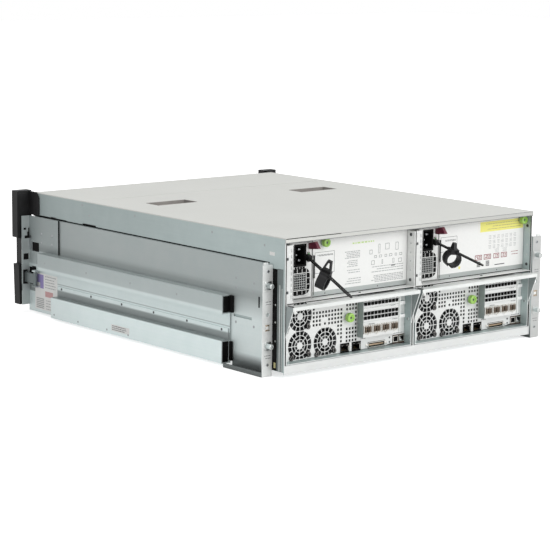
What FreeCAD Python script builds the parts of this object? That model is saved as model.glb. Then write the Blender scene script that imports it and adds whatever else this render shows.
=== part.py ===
import FreeCAD, Part
import math
import os
import re

import Sketcher
from FreeCAD import Placement, Rotation, Vector

# Four-unit rack disk shelf enclosure: twenty disk bays at the front, two controller modules and two
# power supplies at the rear, on a pair of telescoping rack rails.
# +X is the enclosure's left as seen from behind, +Y points out of the rear, +Z is up.
# The origin is the middle of the chassis underside. Millimetres.

doc = FreeCAD.newDocument("disk_shelf_enclosure")
dims = doc.addObject("Spreadsheet::Sheet", "Dims")

DRIVING = [
    # chassis
    ("chassis_width", 440.0),
    ("chassis_depth", 560.0),
    ("chassis_height", 171.0),
    ("skin", 1.2),
    ("seam_back", 153.0),        # front edge of the rear cover, ahead of the chassis middle
    ("lip_height", 11.0),        # rear lip of the chassis floor
    ("step_in", 16.0),           # floor edges stand up by step_up over the rails' ledges
    ("step_up", 2.4),
    ("shelf_top", 89.6),         # shelf between power supplies and controllers
    ("bay_pitch", 220.0),        # left bay to right bay
    ("module_front", -104.0),    # leading end of the rear modules
    # disk bays
    ("cage_front", -278.0),
    ("cage_back", -130.0),
    ("cage_base", 3.8),
    ("cell_step_across", 108.6),
    ("cell_step_up", 32.6),
    ("cage_sheet", 1.0),
    ("carrier_width", 106.2),
    ("carrier_height", 31.0),
    ("disk_width", 101.6),
    ("disk_height", 26.1),
    ("disk_length", 147.0),
    ("lever_reach", 20.0),
    # rear panels and power supplies
    ("recess_upper", 14.5),
    ("supply_width", 40.0),
    ("supply_height", 70.0),
    ("supply_right", 164.3),
    ("supply_base", 91.1),
    ("supply_fan_up", 20.5),     # fan centre above the supply's base
    ("supply_fan_span", 35.0),
    ("inlet_width", 18.4),
    ("inlet_height", 26.8),
    # controllers
    ("recess_lower", 12.5),
    ("module_width", 213.0),
    ("module_right", 3.6),
    ("module_base", 11.5),
    ("module_top", 87.6),
    ("fan_radius", 19.6),
    ("fan_near", 184.0),         # fan centres across, and up
    ("fan_far", 142.0),
    ("fan_low", 30.6),
    ("fan_high", 69.6),
    ("face_seam", 117.6),        # between the fan sheet and the vent sheet of the face
    ("strip_top", 25.0),         # top of the strip with the port cut-outs
    ("vent_pitch", 5.15),
    ("vent_hole", 3.0),
    ("slot_box_right", 25.0),    # raised box of the card slots
    ("slot_box_left", 88.0),
    ("slot_box_base", 31.0),
    ("slot_box_top", 85.0),
    ("slot_box_depth", 11.0),
    ("handle_reach", 14.0),
    ("handle_top", 86.4),
    ("handle_pin", 1.9),
    ("handle_pivot_back", 6.0),  # handle pivot, ahead of the rear plane
    ("handle_pivot_up", 46.0),
    ("screw_radius", 6.0),
    ("screw_shank", 2.05),
    ("screw_hole", 2.1),
    ("screw_across", 105.0),
    ("screw_up", 58.6),
    # ears and rails
    ("ear_reach", 241.3),
    ("ear_height", 172.5),
    ("ear_depth", 14.0),
    ("rail_gap", 0.4),
    ("rail_sheet", 1.4),
    ("rail_top", 136.5),
    ("rail_flange", 16.0),
    ("rail_front", -292.0),
    ("channel_base", 63.0),
    ("channel_top", 87.0),
    ("channel_back", 176.0),
    ("box_top", 28.0),
    ("box_front", -218.0),
    ("stud_pitch", 76.2),
    ("stud_low", 33.8),
    ("stud_across", 228.0),
    ("stud_radius", 3.3),
    ("latch_across", 228.5),     # pivot of the rail's sprung latch
    ("latch_pivot", -268.0),
    ("rail_back", 257.0),
    ("right_rail_extra", 25.0),  # how much further the right rail is drawn out
]
for row, (alias, value) in enumerate(DRIVING, 1):
    dims.set(f"A{row}", alias)
    dims.set(f"B{row}", str(value))
    dims.setAlias(f"B{row}", alias)
doc.recompute()
ALIASES = {alias for alias, _ in DRIVING}
value_of = {alias: float(value) for alias, value in DRIVING}

nodes = []


# ---------------------------------------------------------------- construction helpers
def bound(text):
    """An expression in which each sheet word is read from the sheet."""
    return re.sub(r"[a-z_]+", lambda m: "Dims." + m[0] if m[0] in ALIASES else m[0], str(text))


def bind(thing, prop, text):
    thing.setExpression(prop, bound(text))


def place(thing, corner):
    for axis, text in zip("xyz", corner):
        bind(thing, f"Placement.Base.{axis}", text)


def box(name, low, high):
    """A block between two corners, each given as three expressions."""
    block = doc.addObject("Part::Box", name)
    for prop, start, end in zip(("Length", "Width", "Height"), low, high):
        bind(block, prop, f"({end}) - ({start})")
    place(block, low)
    return block


TURN_TO = {
    "x": Rotation(Vector(0, 1, 0), 90),
    "y": Rotation(Vector(1, 0, 0), -90),
    "z": Rotation(),
}


def rod(name, centre, radius, length, axis="y"):
    """A cylinder that starts at the centre given and runs along the axis."""
    cylinder = doc.addObject("Part::Cylinder", name)
    cylinder.Placement = Placement(Vector(), TURN_TO[axis])
    bind(cylinder, "Radius", radius)
    bind(cylinder, "Height", length)
    place(cylinder, centre)
    return cylinder


def prism(name, centre, radius, length, sides, axis="y"):
    """A many-sided rod: it starts at the centre given and runs along the axis."""
    bar = doc.addObject("Part::Prism", name)
    bar.Placement = Placement(Vector(), TURN_TO[axis])
    bar.Polygon = sides
    bind(bar, "Circumradius", radius)
    bind(bar, "Height", length)
    place(bar, centre)
    return bar


def fuse(name, parts):
    union = doc.addObject("Part::MultiFuse", name)
    union.Shapes = parts
    return union


def cut(name, base, tool):
    result = doc.addObject("Part::Cut", name)
    result.Base = base
    result.Tool = tool
    return result


def group(name, parts, shift=("0", "0", "0")):
    """Separate solids kept together, moved by a shift."""
    compound = doc.addObject("Part::Compound", name)
    compound.Links = parts
    place(compound, shift)
    return compound


def node(name, thing):
    thing.Label = name
    nodes.append(thing)
    return thing


def new_body(name):
    return doc.addObject("PartDesign::Body", name)


def origin_plane(body, role):
    return next(f for f in body.Origin.OriginFeatures if f.Role == role)


# plane role, sign of the sketch normal along its world axis
PLANES = {"x": ("YZ_Plane", 1), "y": ("XZ_Plane", -1), "z": ("XY_Plane", 1)}


def sketch_on(body, name, axis, start):
    """A sketch square to a world axis, at a place along it."""
    role, sign = PLANES[axis]
    sketch = body.newObject("Sketcher::SketchObject", name)
    sketch.AttachmentSupport = [(origin_plane(body, role), "")]
    sketch.MapMode = "FlatFace"
    bind(sketch, "AttachmentOffset.Base.z", f"{sign} * ({start})")
    return sketch


def outline(sketch, points):
    """A closed outline whose corners stand at expressions of the sheet."""
    count = len(points)
    first = sketch.GeometryCount
    turns = [2 * math.pi * i / count for i in range(count)]
    ring = [Vector(50 * math.cos(a), 50 * math.sin(a), 0) for a in turns]
    sketch.addGeometry([Part.LineSegment(ring[i], ring[(i + 1) % count]) for i in range(count)])
    for i in range(count):
        sketch.addConstraint(
            Sketcher.Constraint("Coincident", first + i, 2, first + (i + 1) % count, 1))
    for i, corner in enumerate(points):
        for kind, now, text in zip(("DistanceX", "DistanceY"), ring[i][:2], corner):
            index = sketch.addConstraint(Sketcher.Constraint(kind, -1, 1, first + i, 1, now))
            bind(sketch, f"Constraints[{index}]", text)


def rectangle(sketch, low, high):
    outline(sketch, [low, (high[0], low[1]), high, (low[0], high[1])])


def circle(sketch, centre, radius):
    index = sketch.addGeometry(Part.Circle(Vector(20, 20, 0), Vector(0, 0, 1), 3))
    for kind, text in zip(("DistanceX", "DistanceY"), centre):
        number = sketch.addConstraint(Sketcher.Constraint(kind, -1, 1, index, 3, 20))
        bind(sketch, f"Constraints[{number}]", text)
    number = sketch.addConstraint(Sketcher.Constraint("Radius", index, 3))
    bind(sketch, f"Constraints[{number}]", radius)


def pad(body, name, axis, start, end, draw):
    """Adds the drawn outline between two places along an axis."""
    sketch = sketch_on(body, name + "_sketch", axis, start)
    draw(sketch)
    feature = body.newObject("PartDesign::Pad", name)
    feature.Profile = sketch
    bind(feature, "Length", f"({end}) - ({start})")
    feature.Reversed = axis == "y"
    body.Tip = feature
    doc.recompute()
    return feature


def pocket(body, name, axis, start, end, draw):
    """Removes the drawn outline between two places along an axis."""
    before = body.Shape.Volume
    sketch = sketch_on(body, name + "_sketch", axis, start)
    draw(sketch)
    feature = body.newObject("PartDesign::Pocket", name)
    feature.Profile = sketch
    bind(feature, "Length", f"({end}) - ({start})")
    feature.Reversed = axis != "y"
    body.Tip = feature
    doc.recompute()
    if not body.Shape.Volume < before - 0.01:
        raise RuntimeError(f"{name} removes nothing")
    return feature


def drawn(shape, *args):
    """A drawing step, kept until the sketch exists."""
    return lambda sketch: shape(sketch, *args)


def mirror(name, thing):
    """The opposite-hand twin across the middle of the chassis."""
    twin = doc.addObject("Part::Mirroring", name)
    twin.Source = thing
    twin.Base = Vector(0, 0, 0)
    twin.Normal = Vector(1, 0, 0)
    return twin


def both_halves(half):
    """A section across the chassis, from its left half."""
    return half + [(f"-({across})", up) for across, up in reversed(half)]


HALF = "chassis_width / 2"
REAR = "chassis_depth / 2"
FRONT = "-chassis_depth / 2"


# ---------------------------------------------------------------- chassis
def chassis_tray():
    """Folded floor with the lip across its rear, and the side walls that stand on it."""
    step = f"({HALF} - step_in)"
    inner = f"({HALF} - skin)"
    ledge = "step_up + skin"
    pan = new_body("tray_pan")
    half_floor = [(step, "0"), (step, "step_up"), (HALF, "step_up"), (HALF, ledge), (f"{step} - skin", ledge),
                  (f"{step} - skin", "skin")]
    pad(pan, "tray_floor", "y", FRONT, REAR, drawn(outline, both_halves(half_floor)))
    half_lip = [(HALF, "0"), (HALF, ledge), (inner, ledge), (inner, "lip_height")]
    pad(pan, "tray_rear_lip", "y", f"{REAR} - skin", REAR, drawn(outline, both_halves(half_lip)))
    wall = new_body("side_wall_left")
    pad(wall, "side_wall_sheet", "x", inner, HALF,
        drawn(rectangle, (FRONT, ledge), (REAR, "chassis_height - skin")))
    for name, front, back in (("long", "-158", "-128"), ("short", "-240", "-225")):
        pocket(wall, f"wall_slot_{name}", "x", f"{inner} - 1", f"{HALF} + 1",
               drawn(rectangle, (front, "rail_top + 0.7"), (back, "rail_top + 3.4")))
    return node("chassis_tray", group("chassis_tray", [pan, wall, mirror("side_wall_right", wall)]))


def front_top_cover():
    """Fixed cover over the disk bays, with a joggled strip that carries the rear cover's edge."""
    body = new_body("front_top_cover")
    seam = "-seam_back - 0.9"
    pad(body, "front_cover_plate", "z", "chassis_height - skin", "chassis_height",
        drawn(rectangle, (f"-{HALF}", FRONT), (HALF, seam)))
    profile = [
        (f"{seam} - 12", "chassis_height - skin"), (f"{seam} - 12", "chassis_height - 2 * skin - 0.2"),
        ("-seam_back + 12", "chassis_height - 2 * skin - 0.2"), ("-seam_back + 12", "chassis_height - skin - 0.2"),
        (seam, "chassis_height - skin - 0.2"), (seam, "chassis_height - skin"),
    ]
    pad(body, "front_cover_joggle", "x", f"skin + 1 - {HALF}", f"{HALF} - skin - 1", drawn(outline, profile))
    return node("front_top_cover", body)


def rear_top_cover():
    """Sliding cover over the rear modules, with two sunk finger grips and a folded rear lip."""
    body = new_body("rear_top_cover")
    top, under = "chassis_height", "chassis_height - skin"
    pad(body, "cover_plate", "z", under, top,
        drawn(rectangle, (f"-{HALF}", "-seam_back"), (HALF, f"{REAR} + 0.3 + skin")))
    pad(body, "cover_lip", "y", f"{REAR} + 0.3", f"{REAR} + 0.3 + skin",
        drawn(rectangle, (f"-{HALF}", f"{top} - 6"), (HALF, top)))
    for side, left, right in (("left", "94", "164"), ("right", "-164", "-94")):
        pad(body, f"grip_cup_{side}", "z", f"{top} - 8", under,
            drawn(rectangle, (left, "-90"), (right, "-58")))
        pocket(body, f"grip_hollow_{side}", "z", f"{top} - 7", f"{top} + 1",
               drawn(rectangle, (f"{left} + 1.2", "-88.8"), (f"{right} - 1.2", "-59.2")))
    return node("rear_top_cover", body)


def bay_frame():
    """Shelf, deck, middle divider and power-supply guides that part the rear bays."""
    body = new_body("bay_frame")
    wall = f"{HALF} - skin"
    shelf, under = "shelf_top", "shelf_top - skin"
    ceiling = "chassis_height - 9.5"
    pad(body, "shelf_plate", "z", under, shelf, drawn(rectangle, (f"-({wall})", "module_front"), (wall, REAR)))
    pad(body, "divider", "x", "-skin / 2", "skin / 2",
        drawn(rectangle, ("module_front", "lip_height"), (REAR, ceiling)))
    pad(body, "deck", "z", "lip_height - skin", "lip_height",
        drawn(rectangle, (f"-({wall})", "module_front"), (wall, f"{REAR} - skin")))
    for side, shift in (("left", "0"), ("right", "bay_pitch")):
        guide_right = f"supply_right - 0.3 - skin - {shift}"
        guide_left = f"supply_right + supply_width + 0.3 - {shift}"
        pad(body, f"guide_inner_{side}", "x", guide_right, f"{guide_right} + skin",
            drawn(rectangle, ("60", under), (f"{REAR} - recess_upper - 16", ceiling)))
        pad(body, f"guide_outer_{side}", "x", guide_left, f"{guide_left} + skin",
            drawn(rectangle, ("60", under), (f"{REAR} - 2", ceiling)))
        pad(body, f"guard_flange_{side}", "y", f"{REAR} - 2 - skin", f"{REAR} - 2",
            drawn(rectangle, (guide_left, under), (f"{guide_left} + 11", ceiling)))
    return node("bay_frame", body)


def drive_cage():
    """Disk bays: five partitions, with a runner plate under and over every bay."""
    sheets = []
    top = "cage_base + 5 * cell_step_up + cage_sheet"
    for wall in range(5):
        across = f"{wall - 2} * cell_step_across"
        sheets.append(box(f"cage_wall_{wall}", (f"{across} - cage_sheet / 2", "cage_front", "cage_base"),
                          (f"{across} + cage_sheet / 2", "cage_back", top)))
    for column in range(4):
        right = f"{column - 2} * cell_step_across + cage_sheet / 2"
        for row in range(6):
            base = f"cage_base + {row} * cell_step_up"
            sheets.append(box(f"cage_shelf_{column}_{row}", (right, "cage_front", base),
                              (f"{column - 1} * cell_step_across - cage_sheet / 2", "cage_back",
                               f"{base} + cage_sheet")))
    return node("drive_cage", group("drive_cage", sheets))


def midplane():
    """Backplane board with a plug for every disk and every rear module."""
    board = box("midplane_board", ("-216", "-124", "4.4"), ("216", "-121.6", "167"))
    parts = [board]
    for column in range(4):
        for row in range(5):
            across = f"(cell_step_across * {column - 1.5})"
            up = f"(cage_base + cell_step_up * {row + 0.5})"
            parts.append(box(f"disk_plug_{column}_{row}", (f"{across} - 22", "-129.5", f"{up} - 9"),
                             (f"{across} + 22", "-124", f"{up} - 3")))
    for side, shift in (("left", "0"), ("right", "bay_pitch")):
        parts.append(box(f"module_plug_{side}", (f"40 - {shift}", "-121.6", "30"),
                         (f"170 - {shift}", "module_front - 1", "48")))
        parts.append(box(f"supply_plug_{side}", (f"172 - {shift}", "-121.6", "104"),
                         (f"196 - {shift}", "module_front - 1", "140")))
    return node("midplane", group("midplane", parts))


def rear_panel(side, right, left):
    """Closing panel beside a power supply: a plate with flanges folded inwards."""
    body = new_body(f"rear_panel_{side}")
    face = f"{REAR} - recess_upper"
    base, top = "shelf_top", "chassis_height - 6.5"
    profile = [
        (face, base), (face, top), (f"{face} - 12", top), (f"{face} - 12", f"{top} - skin"),
        (f"{face} - skin", f"{top} - skin"), (f"{face} - skin", f"{base} + skin"),
        (f"{face} - 12", f"{base} + skin"), (f"{face} - 12", base),
    ]
    pad(body, f"panel_fold_{side}", "x", right, left, drawn(outline, profile))
    across = PANEL_SCREWS[side]
    pocket(body, f"panel_screw_hole_{side}", "y", f"{face} - skin - 1", f"{face} + 1",
           drawn(circle, (across, PANEL_SCREW_UP), "screw_hole"))
    return node(f"rear_panel_{side}", body)


PANEL_SCREWS = {"left": "145.6", "right": "-212.2"}
PANEL_SCREW_UP = "158.6"


def thumbscrew(name, centre, neck_back, radius="screw_radius"):
    """Captive thumbscrew: a faceted head, a collar and a shank through the plate."""
    across, seat, up = centre
    head = prism(f"{name}_head", (across, f"{seat} + 2", up), radius, "6.5", 14)
    collar = prism(f"{name}_collar", (across, f"{seat} + 0.2", up), f"{radius} - 1.6", "1.8", 14)
    shank = rod(f"{name}_shank", (across, f"{seat} - {neck_back}", up), "screw_shank", f"{neck_back} + 0.2")
    return fuse(f"{name}_turned", [head, collar, shank])


def ear(side):
    """Black end cap that reaches to the rack post, with its notch and its captive screw."""
    body = new_body(f"ear_cap_{side}")
    back = "rail_front - 2"
    inner = f"{HALF} - 3"
    notch_floor = "ear_reach - 7"
    section = [
        (inner, "7"), ("ear_reach - 3", "7"), ("ear_reach - 1.5", "66"), (notch_floor, "66"),
        (notch_floor, "103"), ("ear_reach", "105"), ("ear_reach", "ear_height"), (inner, "ear_height"),
    ]
    pad(body, f"ear_plate_{side}", "y", f"{back} - ear_depth", back, drawn(outline, section))
    pad(body, f"ear_tab_{side}", "x", HALF, f"{HALF} + 1.6",
        drawn(outline, [(f"{back} - 1", "rail_top + 1.5"), ("-268", "rail_top + 1.5"), ("-268", "ear_height - 9"),
                        ("-274", "ear_height - 1"), (f"{back} - 1", "ear_height - 1")]))
    pocket(body, f"ear_hollow_{side}", "y", f"{back} - ear_depth - 1", f"{back} - 3",
           drawn(rectangle, (f"{inner} + 2.5", "12"), (f"{notch_floor} - 3", "ear_height - 5")))
    pad(body, f"ear_rest_{side}", "y", back, f"{back} + 0.5",
        drawn(rectangle, (f"{HALF} + 4", "rail_top + 3"), ("ear_reach - 3", "ear_height - 4")))
    middle, head = f"{HALF} + 9", "77"
    screw = prism(f"ear_screw_{side}", (middle, f"{back} - ear_depth + 4", head), "4", "ear_depth - 6", 12)
    seat = prism(f"ear_screw_seat_{side}", (middle, f"{back} - ear_depth + 3", head), "4.1", "ear_depth", 12)
    bored = cut(f"ear_bored_{side}", body, seat)
    return group(f"ear_solids_{side}", [bored, screw])


# ---------------------------------------------------------------- rails
def rail_front():
    """Fixed rail half: wall plate, front flange, ledge, middle channel and lower box channel."""
    body = new_body("rail_front_blank")
    inside = f"{HALF} + 2"
    outside = f"{inside} + rail_sheet"
    ledge = "step_up - rail_sheet"
    base = "-rail_sheet - 0.4"
    section = [
        (f"{HALF} - 14", ledge), (inside, ledge), (inside, base), (outside, base), (outside, "channel_top"),
        (inside, "channel_top"), (inside, "step_up"), (f"{HALF} - 14", "step_up"),
    ]
    pad(body, "rail_wall", "y", "rail_front", "channel_back", drawn(outline, section))
    pad(body, "rail_front_wall", "x", inside, outside,
        drawn(rectangle, ("rail_front", "channel_top - 1"), ("box_front + 2", "rail_top")))
    pad(body, "rail_front_flange", "y", "rail_front", "rail_front + rail_sheet",
        drawn(rectangle, (inside, "7"), (f"{HALF} + rail_flange", "rail_top")))
    reach = f"{HALF} + rail_flange"
    channel = [
        (outside, "channel_base"), (reach, "channel_base"), (reach, "channel_top"), (outside, "channel_top"),
        (outside, "channel_top - rail_sheet"), (f"{reach} - rail_sheet", "channel_top - rail_sheet"),
        (f"{reach} - rail_sheet", "channel_base + rail_sheet"), (outside, "channel_base + rail_sheet"),
    ]
    pad(body, "rail_channel", "y", "rail_front + 42", "channel_back", drawn(outline, channel))
    reach = f"{HALF} + rail_flange - 1"
    lower = [
        (outside, base), (reach, base), (reach, "box_top"), (outside, "box_top"),
        (outside, "box_top - rail_sheet"), (f"{reach} - rail_sheet", "box_top - rail_sheet"),
        (f"{reach} - rail_sheet", f"{base} + rail_sheet"), (outside, f"{base} + rail_sheet"),
    ]
    pad(body, "rail_lower_box", "y", "box_front", "channel_back - 2", drawn(outline, lower))
    pad(body, "rail_lower_plate", "x", outside, f"{outside} + rail_sheet",
        drawn(rectangle, ("box_front + 3", "box_top - 0.1"), ("channel_back - 2", "box_top + 15")))
    pocket(body, "rail_latch_window", "x", inside, f"{outside} + rail_sheet",
           drawn(rectangle, ("rail_front + 8", "52"), ("rail_front + 19", "102")))
    pocket(body, "rail_flange_window", "y", "rail_front - 1", "rail_front + rail_sheet + 1",
           drawn(rectangle, (f"{HALF} + 6", "37"), (f"{HALF} + 14.6", "58")))
    pocket(body, "rail_post_hole", "y", "rail_front - 1", "rail_front + rail_sheet + 1",
           drawn(rectangle, (f"{HALF} + 4.5", "72.5"), (f"{HALF} + 13.5", "81.5")))
    for name, under in (("low", "35"), ("high", "57.5")):
        pad(body, f"latch_lug_{name}", "z", under, f"{under} + 2",
            drawn(rectangle, (outside, "latch_pivot - 4"), ("latch_across + 3", "latch_pivot + 4")))
    pin = rod("rail_latch_pin", ("latch_across", "latch_pivot", "36"), "1.2", "22.5", "z")
    return fuse("rail_front_formed", [body, pin])


def rail_rear():
    """Sliding rail half: wall plate, rear flange with its two locating studs, and bottom channel."""
    body = new_body("rail_rear_blank")
    inside = f"{HALF} + rail_gap"
    outside = f"{inside} + rail_sheet - 0.2"
    back = "rail_back"
    reach = f"{HALF} + rail_flange + 0.6"
    pad(body, "slide_wall", "x", inside, outside,
        drawn(rectangle, ("box_front - 6", "3.2"), (back, "rail_top - 0.5")))
    pad(body, "slide_flange", "y", f"{back} - rail_sheet", back,
        drawn(rectangle, (inside, "-4"), (reach, "rail_top - 0.5")))
    pad(body, "slide_bottom", "y", f"{back} - 78", back,
        drawn(outline, [(inside, "-5"), (reach, "-5"), (reach, "0.6"), (f"{reach} - rail_sheet", "0.6"),
                        (f"{reach} - rail_sheet", "rail_sheet - 5"), (outside, "rail_sheet - 5"),
                        (outside, "3.4"), (inside, "3.4")]))
    pocket(body, "slide_slot", "x", f"{inside} - 1", f"{outside} + 1",
           drawn(rectangle, ("181", "60"), ("218", "63.5")))
    pocket(body, "slide_slit", "x", f"{inside} - 1", f"{outside} + 1",
           drawn(rectangle, ("231", "78"), ("233.5", "92")))
    pocket(body, "flange_round_hole", "y", f"{back} - rail_sheet - 1", f"{back} + 1",
           drawn(circle, ("stud_across", "73.4"), "2.5"))
    pocket(body, "flange_square_hole", "y", f"{back} - rail_sheet - 1", f"{back} + 1",
           drawn(rectangle, ("stud_across - 3.2", "53.6"), ("stud_across + 3.2", "60")))
    for count in (0, 1):
        pad(body, f"flange_stud_{count}", "y", back, f"{back} + 8",
            drawn(circle, ("stud_across", f"stud_low + {count} * stud_pitch"), "stud_radius"))
    return body


def rail_latch():
    """Sprung latch blade that stands in the front flange's window and hooks behind the post."""
    body = new_body("rail_latch_blank")
    inside = "latch_across - 1.5"
    blade = [
        ("latch_pivot", "40"), ("latch_pivot", "54"), ("rail_front + 2.4", "54"), ("rail_front + 2.4", "56"),
        ("rail_front - 1.6", "53"), ("rail_front - 1.6", "40"),
    ]
    pad(body, "latch_blade", "x", inside, f"{inside} + 3", drawn(outline, blade))
    barrel = prism("latch_barrel", ("latch_across", "latch_pivot", "38"), "2.8", "18.5", 12, "z")
    bore = rod("latch_bore", ("latch_across", "latch_pivot", "37"), "1.25", "21", "z")
    return cut("latch_bored", fuse("latch_solid", [body, barrel]), bore)


def rails():
    front = rail_front()
    node("rail_front_left", group("rail_front_left", [front]))
    node("rail_front_right", mirror("rail_front_right", front))
    rear = rail_rear()
    node("rail_rear_left", group("rail_rear_left", [rear]))
    node("rail_rear_right", group("rail_rear_right", [mirror("rail_rear_twin", rear)],
                                  ("0", "right_rail_extra", "0")))
    latch = rail_latch()
    node("rail_latch_left", group("rail_latch_left", [latch]))
    node("rail_latch_right", mirror("rail_latch_right", latch))


# ---------------------------------------------------------------- disk carriers
def carrier_master():
    """Disk carrier for the lowest right bay: vented front, side rails, lever and the disk itself."""
    body = new_body("carrier_tray")
    low = "-cell_step_across * 1.5 - carrier_width / 2"
    high = f"{low} + carrier_width"
    base = "cage_base + (cell_step_up + cage_sheet - carrier_height) / 2"
    top = f"{base} + carrier_height"
    face, back = "cage_front - 4", "cage_front + 3"
    pad(body, "carrier_front", "y", face, back, drawn(rectangle, (low, base), (high, top)))
    for side, edge, other in (("right", low, f"{low} + 2.1"), ("left", f"{high} - 2.1", high)):
        pad(body, f"carrier_rail_{side}", "x", edge, other,
            drawn(rectangle, (back, f"{base} + 3"), ("cage_back - 3", f"{base} + 15")))
    pocket(body, "carrier_vent", "y", f"{face} - 1", f"{back} + 1",
           drawn(rectangle, (f"{low} + 18", f"{base} + 24"), (f"{high} - 18", f"{top} - 2.6")))
    disk = box("carrier_disk", (f"{low} + 2.3", "cage_back - 1 - disk_length", f"{base} + 2"),
               (f"{high} - 2.3", "cage_back - 1", f"{base} + 2 + disk_height"))
    lever = new_body("carrier_lever")
    reach = f"{face} - lever_reach + 4"
    grip = [
        (f"{high} - 3", face), (f"{high} - 9", reach), (f"{low} + 14", reach),
        (f"{low} + 14", f"{reach} + 2.4"), (f"{high} - 12", f"{reach} + 2.4"), (f"{high} - 14", face),
    ]
    pad(lever, "lever_grip", "z", f"{base} + 9", f"{base} + 22", drawn(outline, grip))
    return [body, disk, lever]


def carriers():
    parts = carrier_master()
    for column in range(4):
        for row in range(5):
            name = f"disk_carrier_{column * 5 + row + 1:02d}"
            shift = (f"cell_step_across * {column}", "0", f"cell_step_up * {row}")
            node(name, group(name, parts, shift))


# ---------------------------------------------------------------- controllers
def controller_case():
    """Folded case: floor, roof, sides that run on to the rear plane, and the plug end."""
    body = new_body("controller_case_blank")
    left = "module_right + module_width"
    face = f"{REAR} - recess_lower"
    pad(body, "case_block", "y", "module_front", f"{REAR} - 0.4",
        drawn(rectangle, ("module_right", "module_base"), (left, "module_top")))
    pocket(body, "case_hollow", "y", "module_front + 1", f"{REAR} + 1",
           drawn(rectangle, ("module_right + 1", "module_base + 1"), (f"{left} - 1", "module_top - 1")))
    pocket(body, "case_roof_relief", "z", "module_top - 1.5", "module_top + 1",
           drawn(rectangle, ("module_right - 1", f"{face} + 0.4"), (f"{left} + 1", f"{REAR} + 1")))
    pocket(body, "case_pivots", "x", "module_right - 1", f"{left} + 1",
           drawn(circle, (f"{REAR} - handle_pivot_back", "handle_pivot_up"), "handle_pin + 0.05"))
    return body


def ring_grille():
    """Cutter for one fan opening: two rings of cells between hub, ring and spokes."""
    ring_cells = []
    for name, outer, inner, count in (("outer", "fan_radius", "fan_radius - 5.6", 12),
                                      ("inner", "fan_radius - 7.4", "5.6", 8)):
        band = cut(f"grille_band_{name}", prism(f"grille_{name}_rim", ("0", "-3", "0"), outer, "6", count),
                   prism(f"grille_{name}_core", ("0", "-4", "0"), inner, "8", count))
        spokes = []
        for step in range(count // 2):
            spoke = doc.addObject("Part::Box", f"grille_{name}_spoke_{step}")
            spoke.Length, spoke.Width, spoke.Height = 50, 8, 1.5
            turn = Rotation(Vector(0, 1, 0), 360 * step / count)
            spoke.Placement = Placement(turn.multVec(Vector(-25, -4, -0.75)), turn)
            spokes.append(spoke)
        ring_cells.append(cut(f"grille_cells_{name}", band, fuse(f"grille_{name}_spokes", spokes)))
    return ring_cells


def vent_cells():
    """Square vent holes of the controller face, on one pitch, as rows of column numbers."""
    pitch, hole = value_of["vent_pitch"], value_of["vent_hole"]
    fields = [
        # left-hand edge across, top row up, columns used in each row
        (161.4, 74.6, [[0], range(10), range(10), [0, 1, 2, 5, 6, 7, 8, 9], [0, 1, 2, 5, 6, 7, 8, 9],
                       [8, 9], [8, 9], [8, 9], [9], [9]]),
        (105.4, 79.0, [[2, 3], range(4), range(4), [3], [3], [3], [3], range(4), range(4), range(4), range(4)]),
    ]
    cells = []
    for left, top, rows in fields:
        for row, columns in enumerate(rows):
            for column in columns:
                cells.append(Part.makeBox(hole, 12, hole, Vector(left - column * pitch - hole / 2, -6,
                                                                 top - row * pitch - hole / 2)))
    vents = doc.addObject("Part::Feature", "vent_cells")
    vents.Shape = Part.makeCompound(cells)
    return vents


JACKS = [  # name, across, up, width, height of each port in the controller face
    ("jack_left", 108.8, 18.4, 13.6, 9.6),
    ("jack_right", 89.0, 18.4, 13.6, 9.6),
    ("array_port", 54.0, 17.4, 29.0, 7.2),
    ("link_left", 20.2, 20.2, 9.4, 8.6),
    ("link_right", 9.6, 20.2, 9.4, 8.6),
]


def port_strip(face):
    """Lower strip of the rear face: sheets over, under and between the port cut-outs."""
    sheets = []
    edge = "face_seam"
    for name, across, up, width, height in JACKS:
        low, high = f"{across - width / 2}", f"{across + width / 2}"
        spans = (("post", high, edge, "module_base + 1.2", "strip_top"),
                 ("sill", low, high, "module_base + 1.2", f"{up - height / 2}"),
                 ("head", low, high, f"{up + height / 2}", "strip_top"))
        for part, near, far, base, top in spans:
            sheets.append(box(f"{name}_{part}", (near, f"{face} - 1", base), (far, face, top)))
        edge = low
    return sheets


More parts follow.
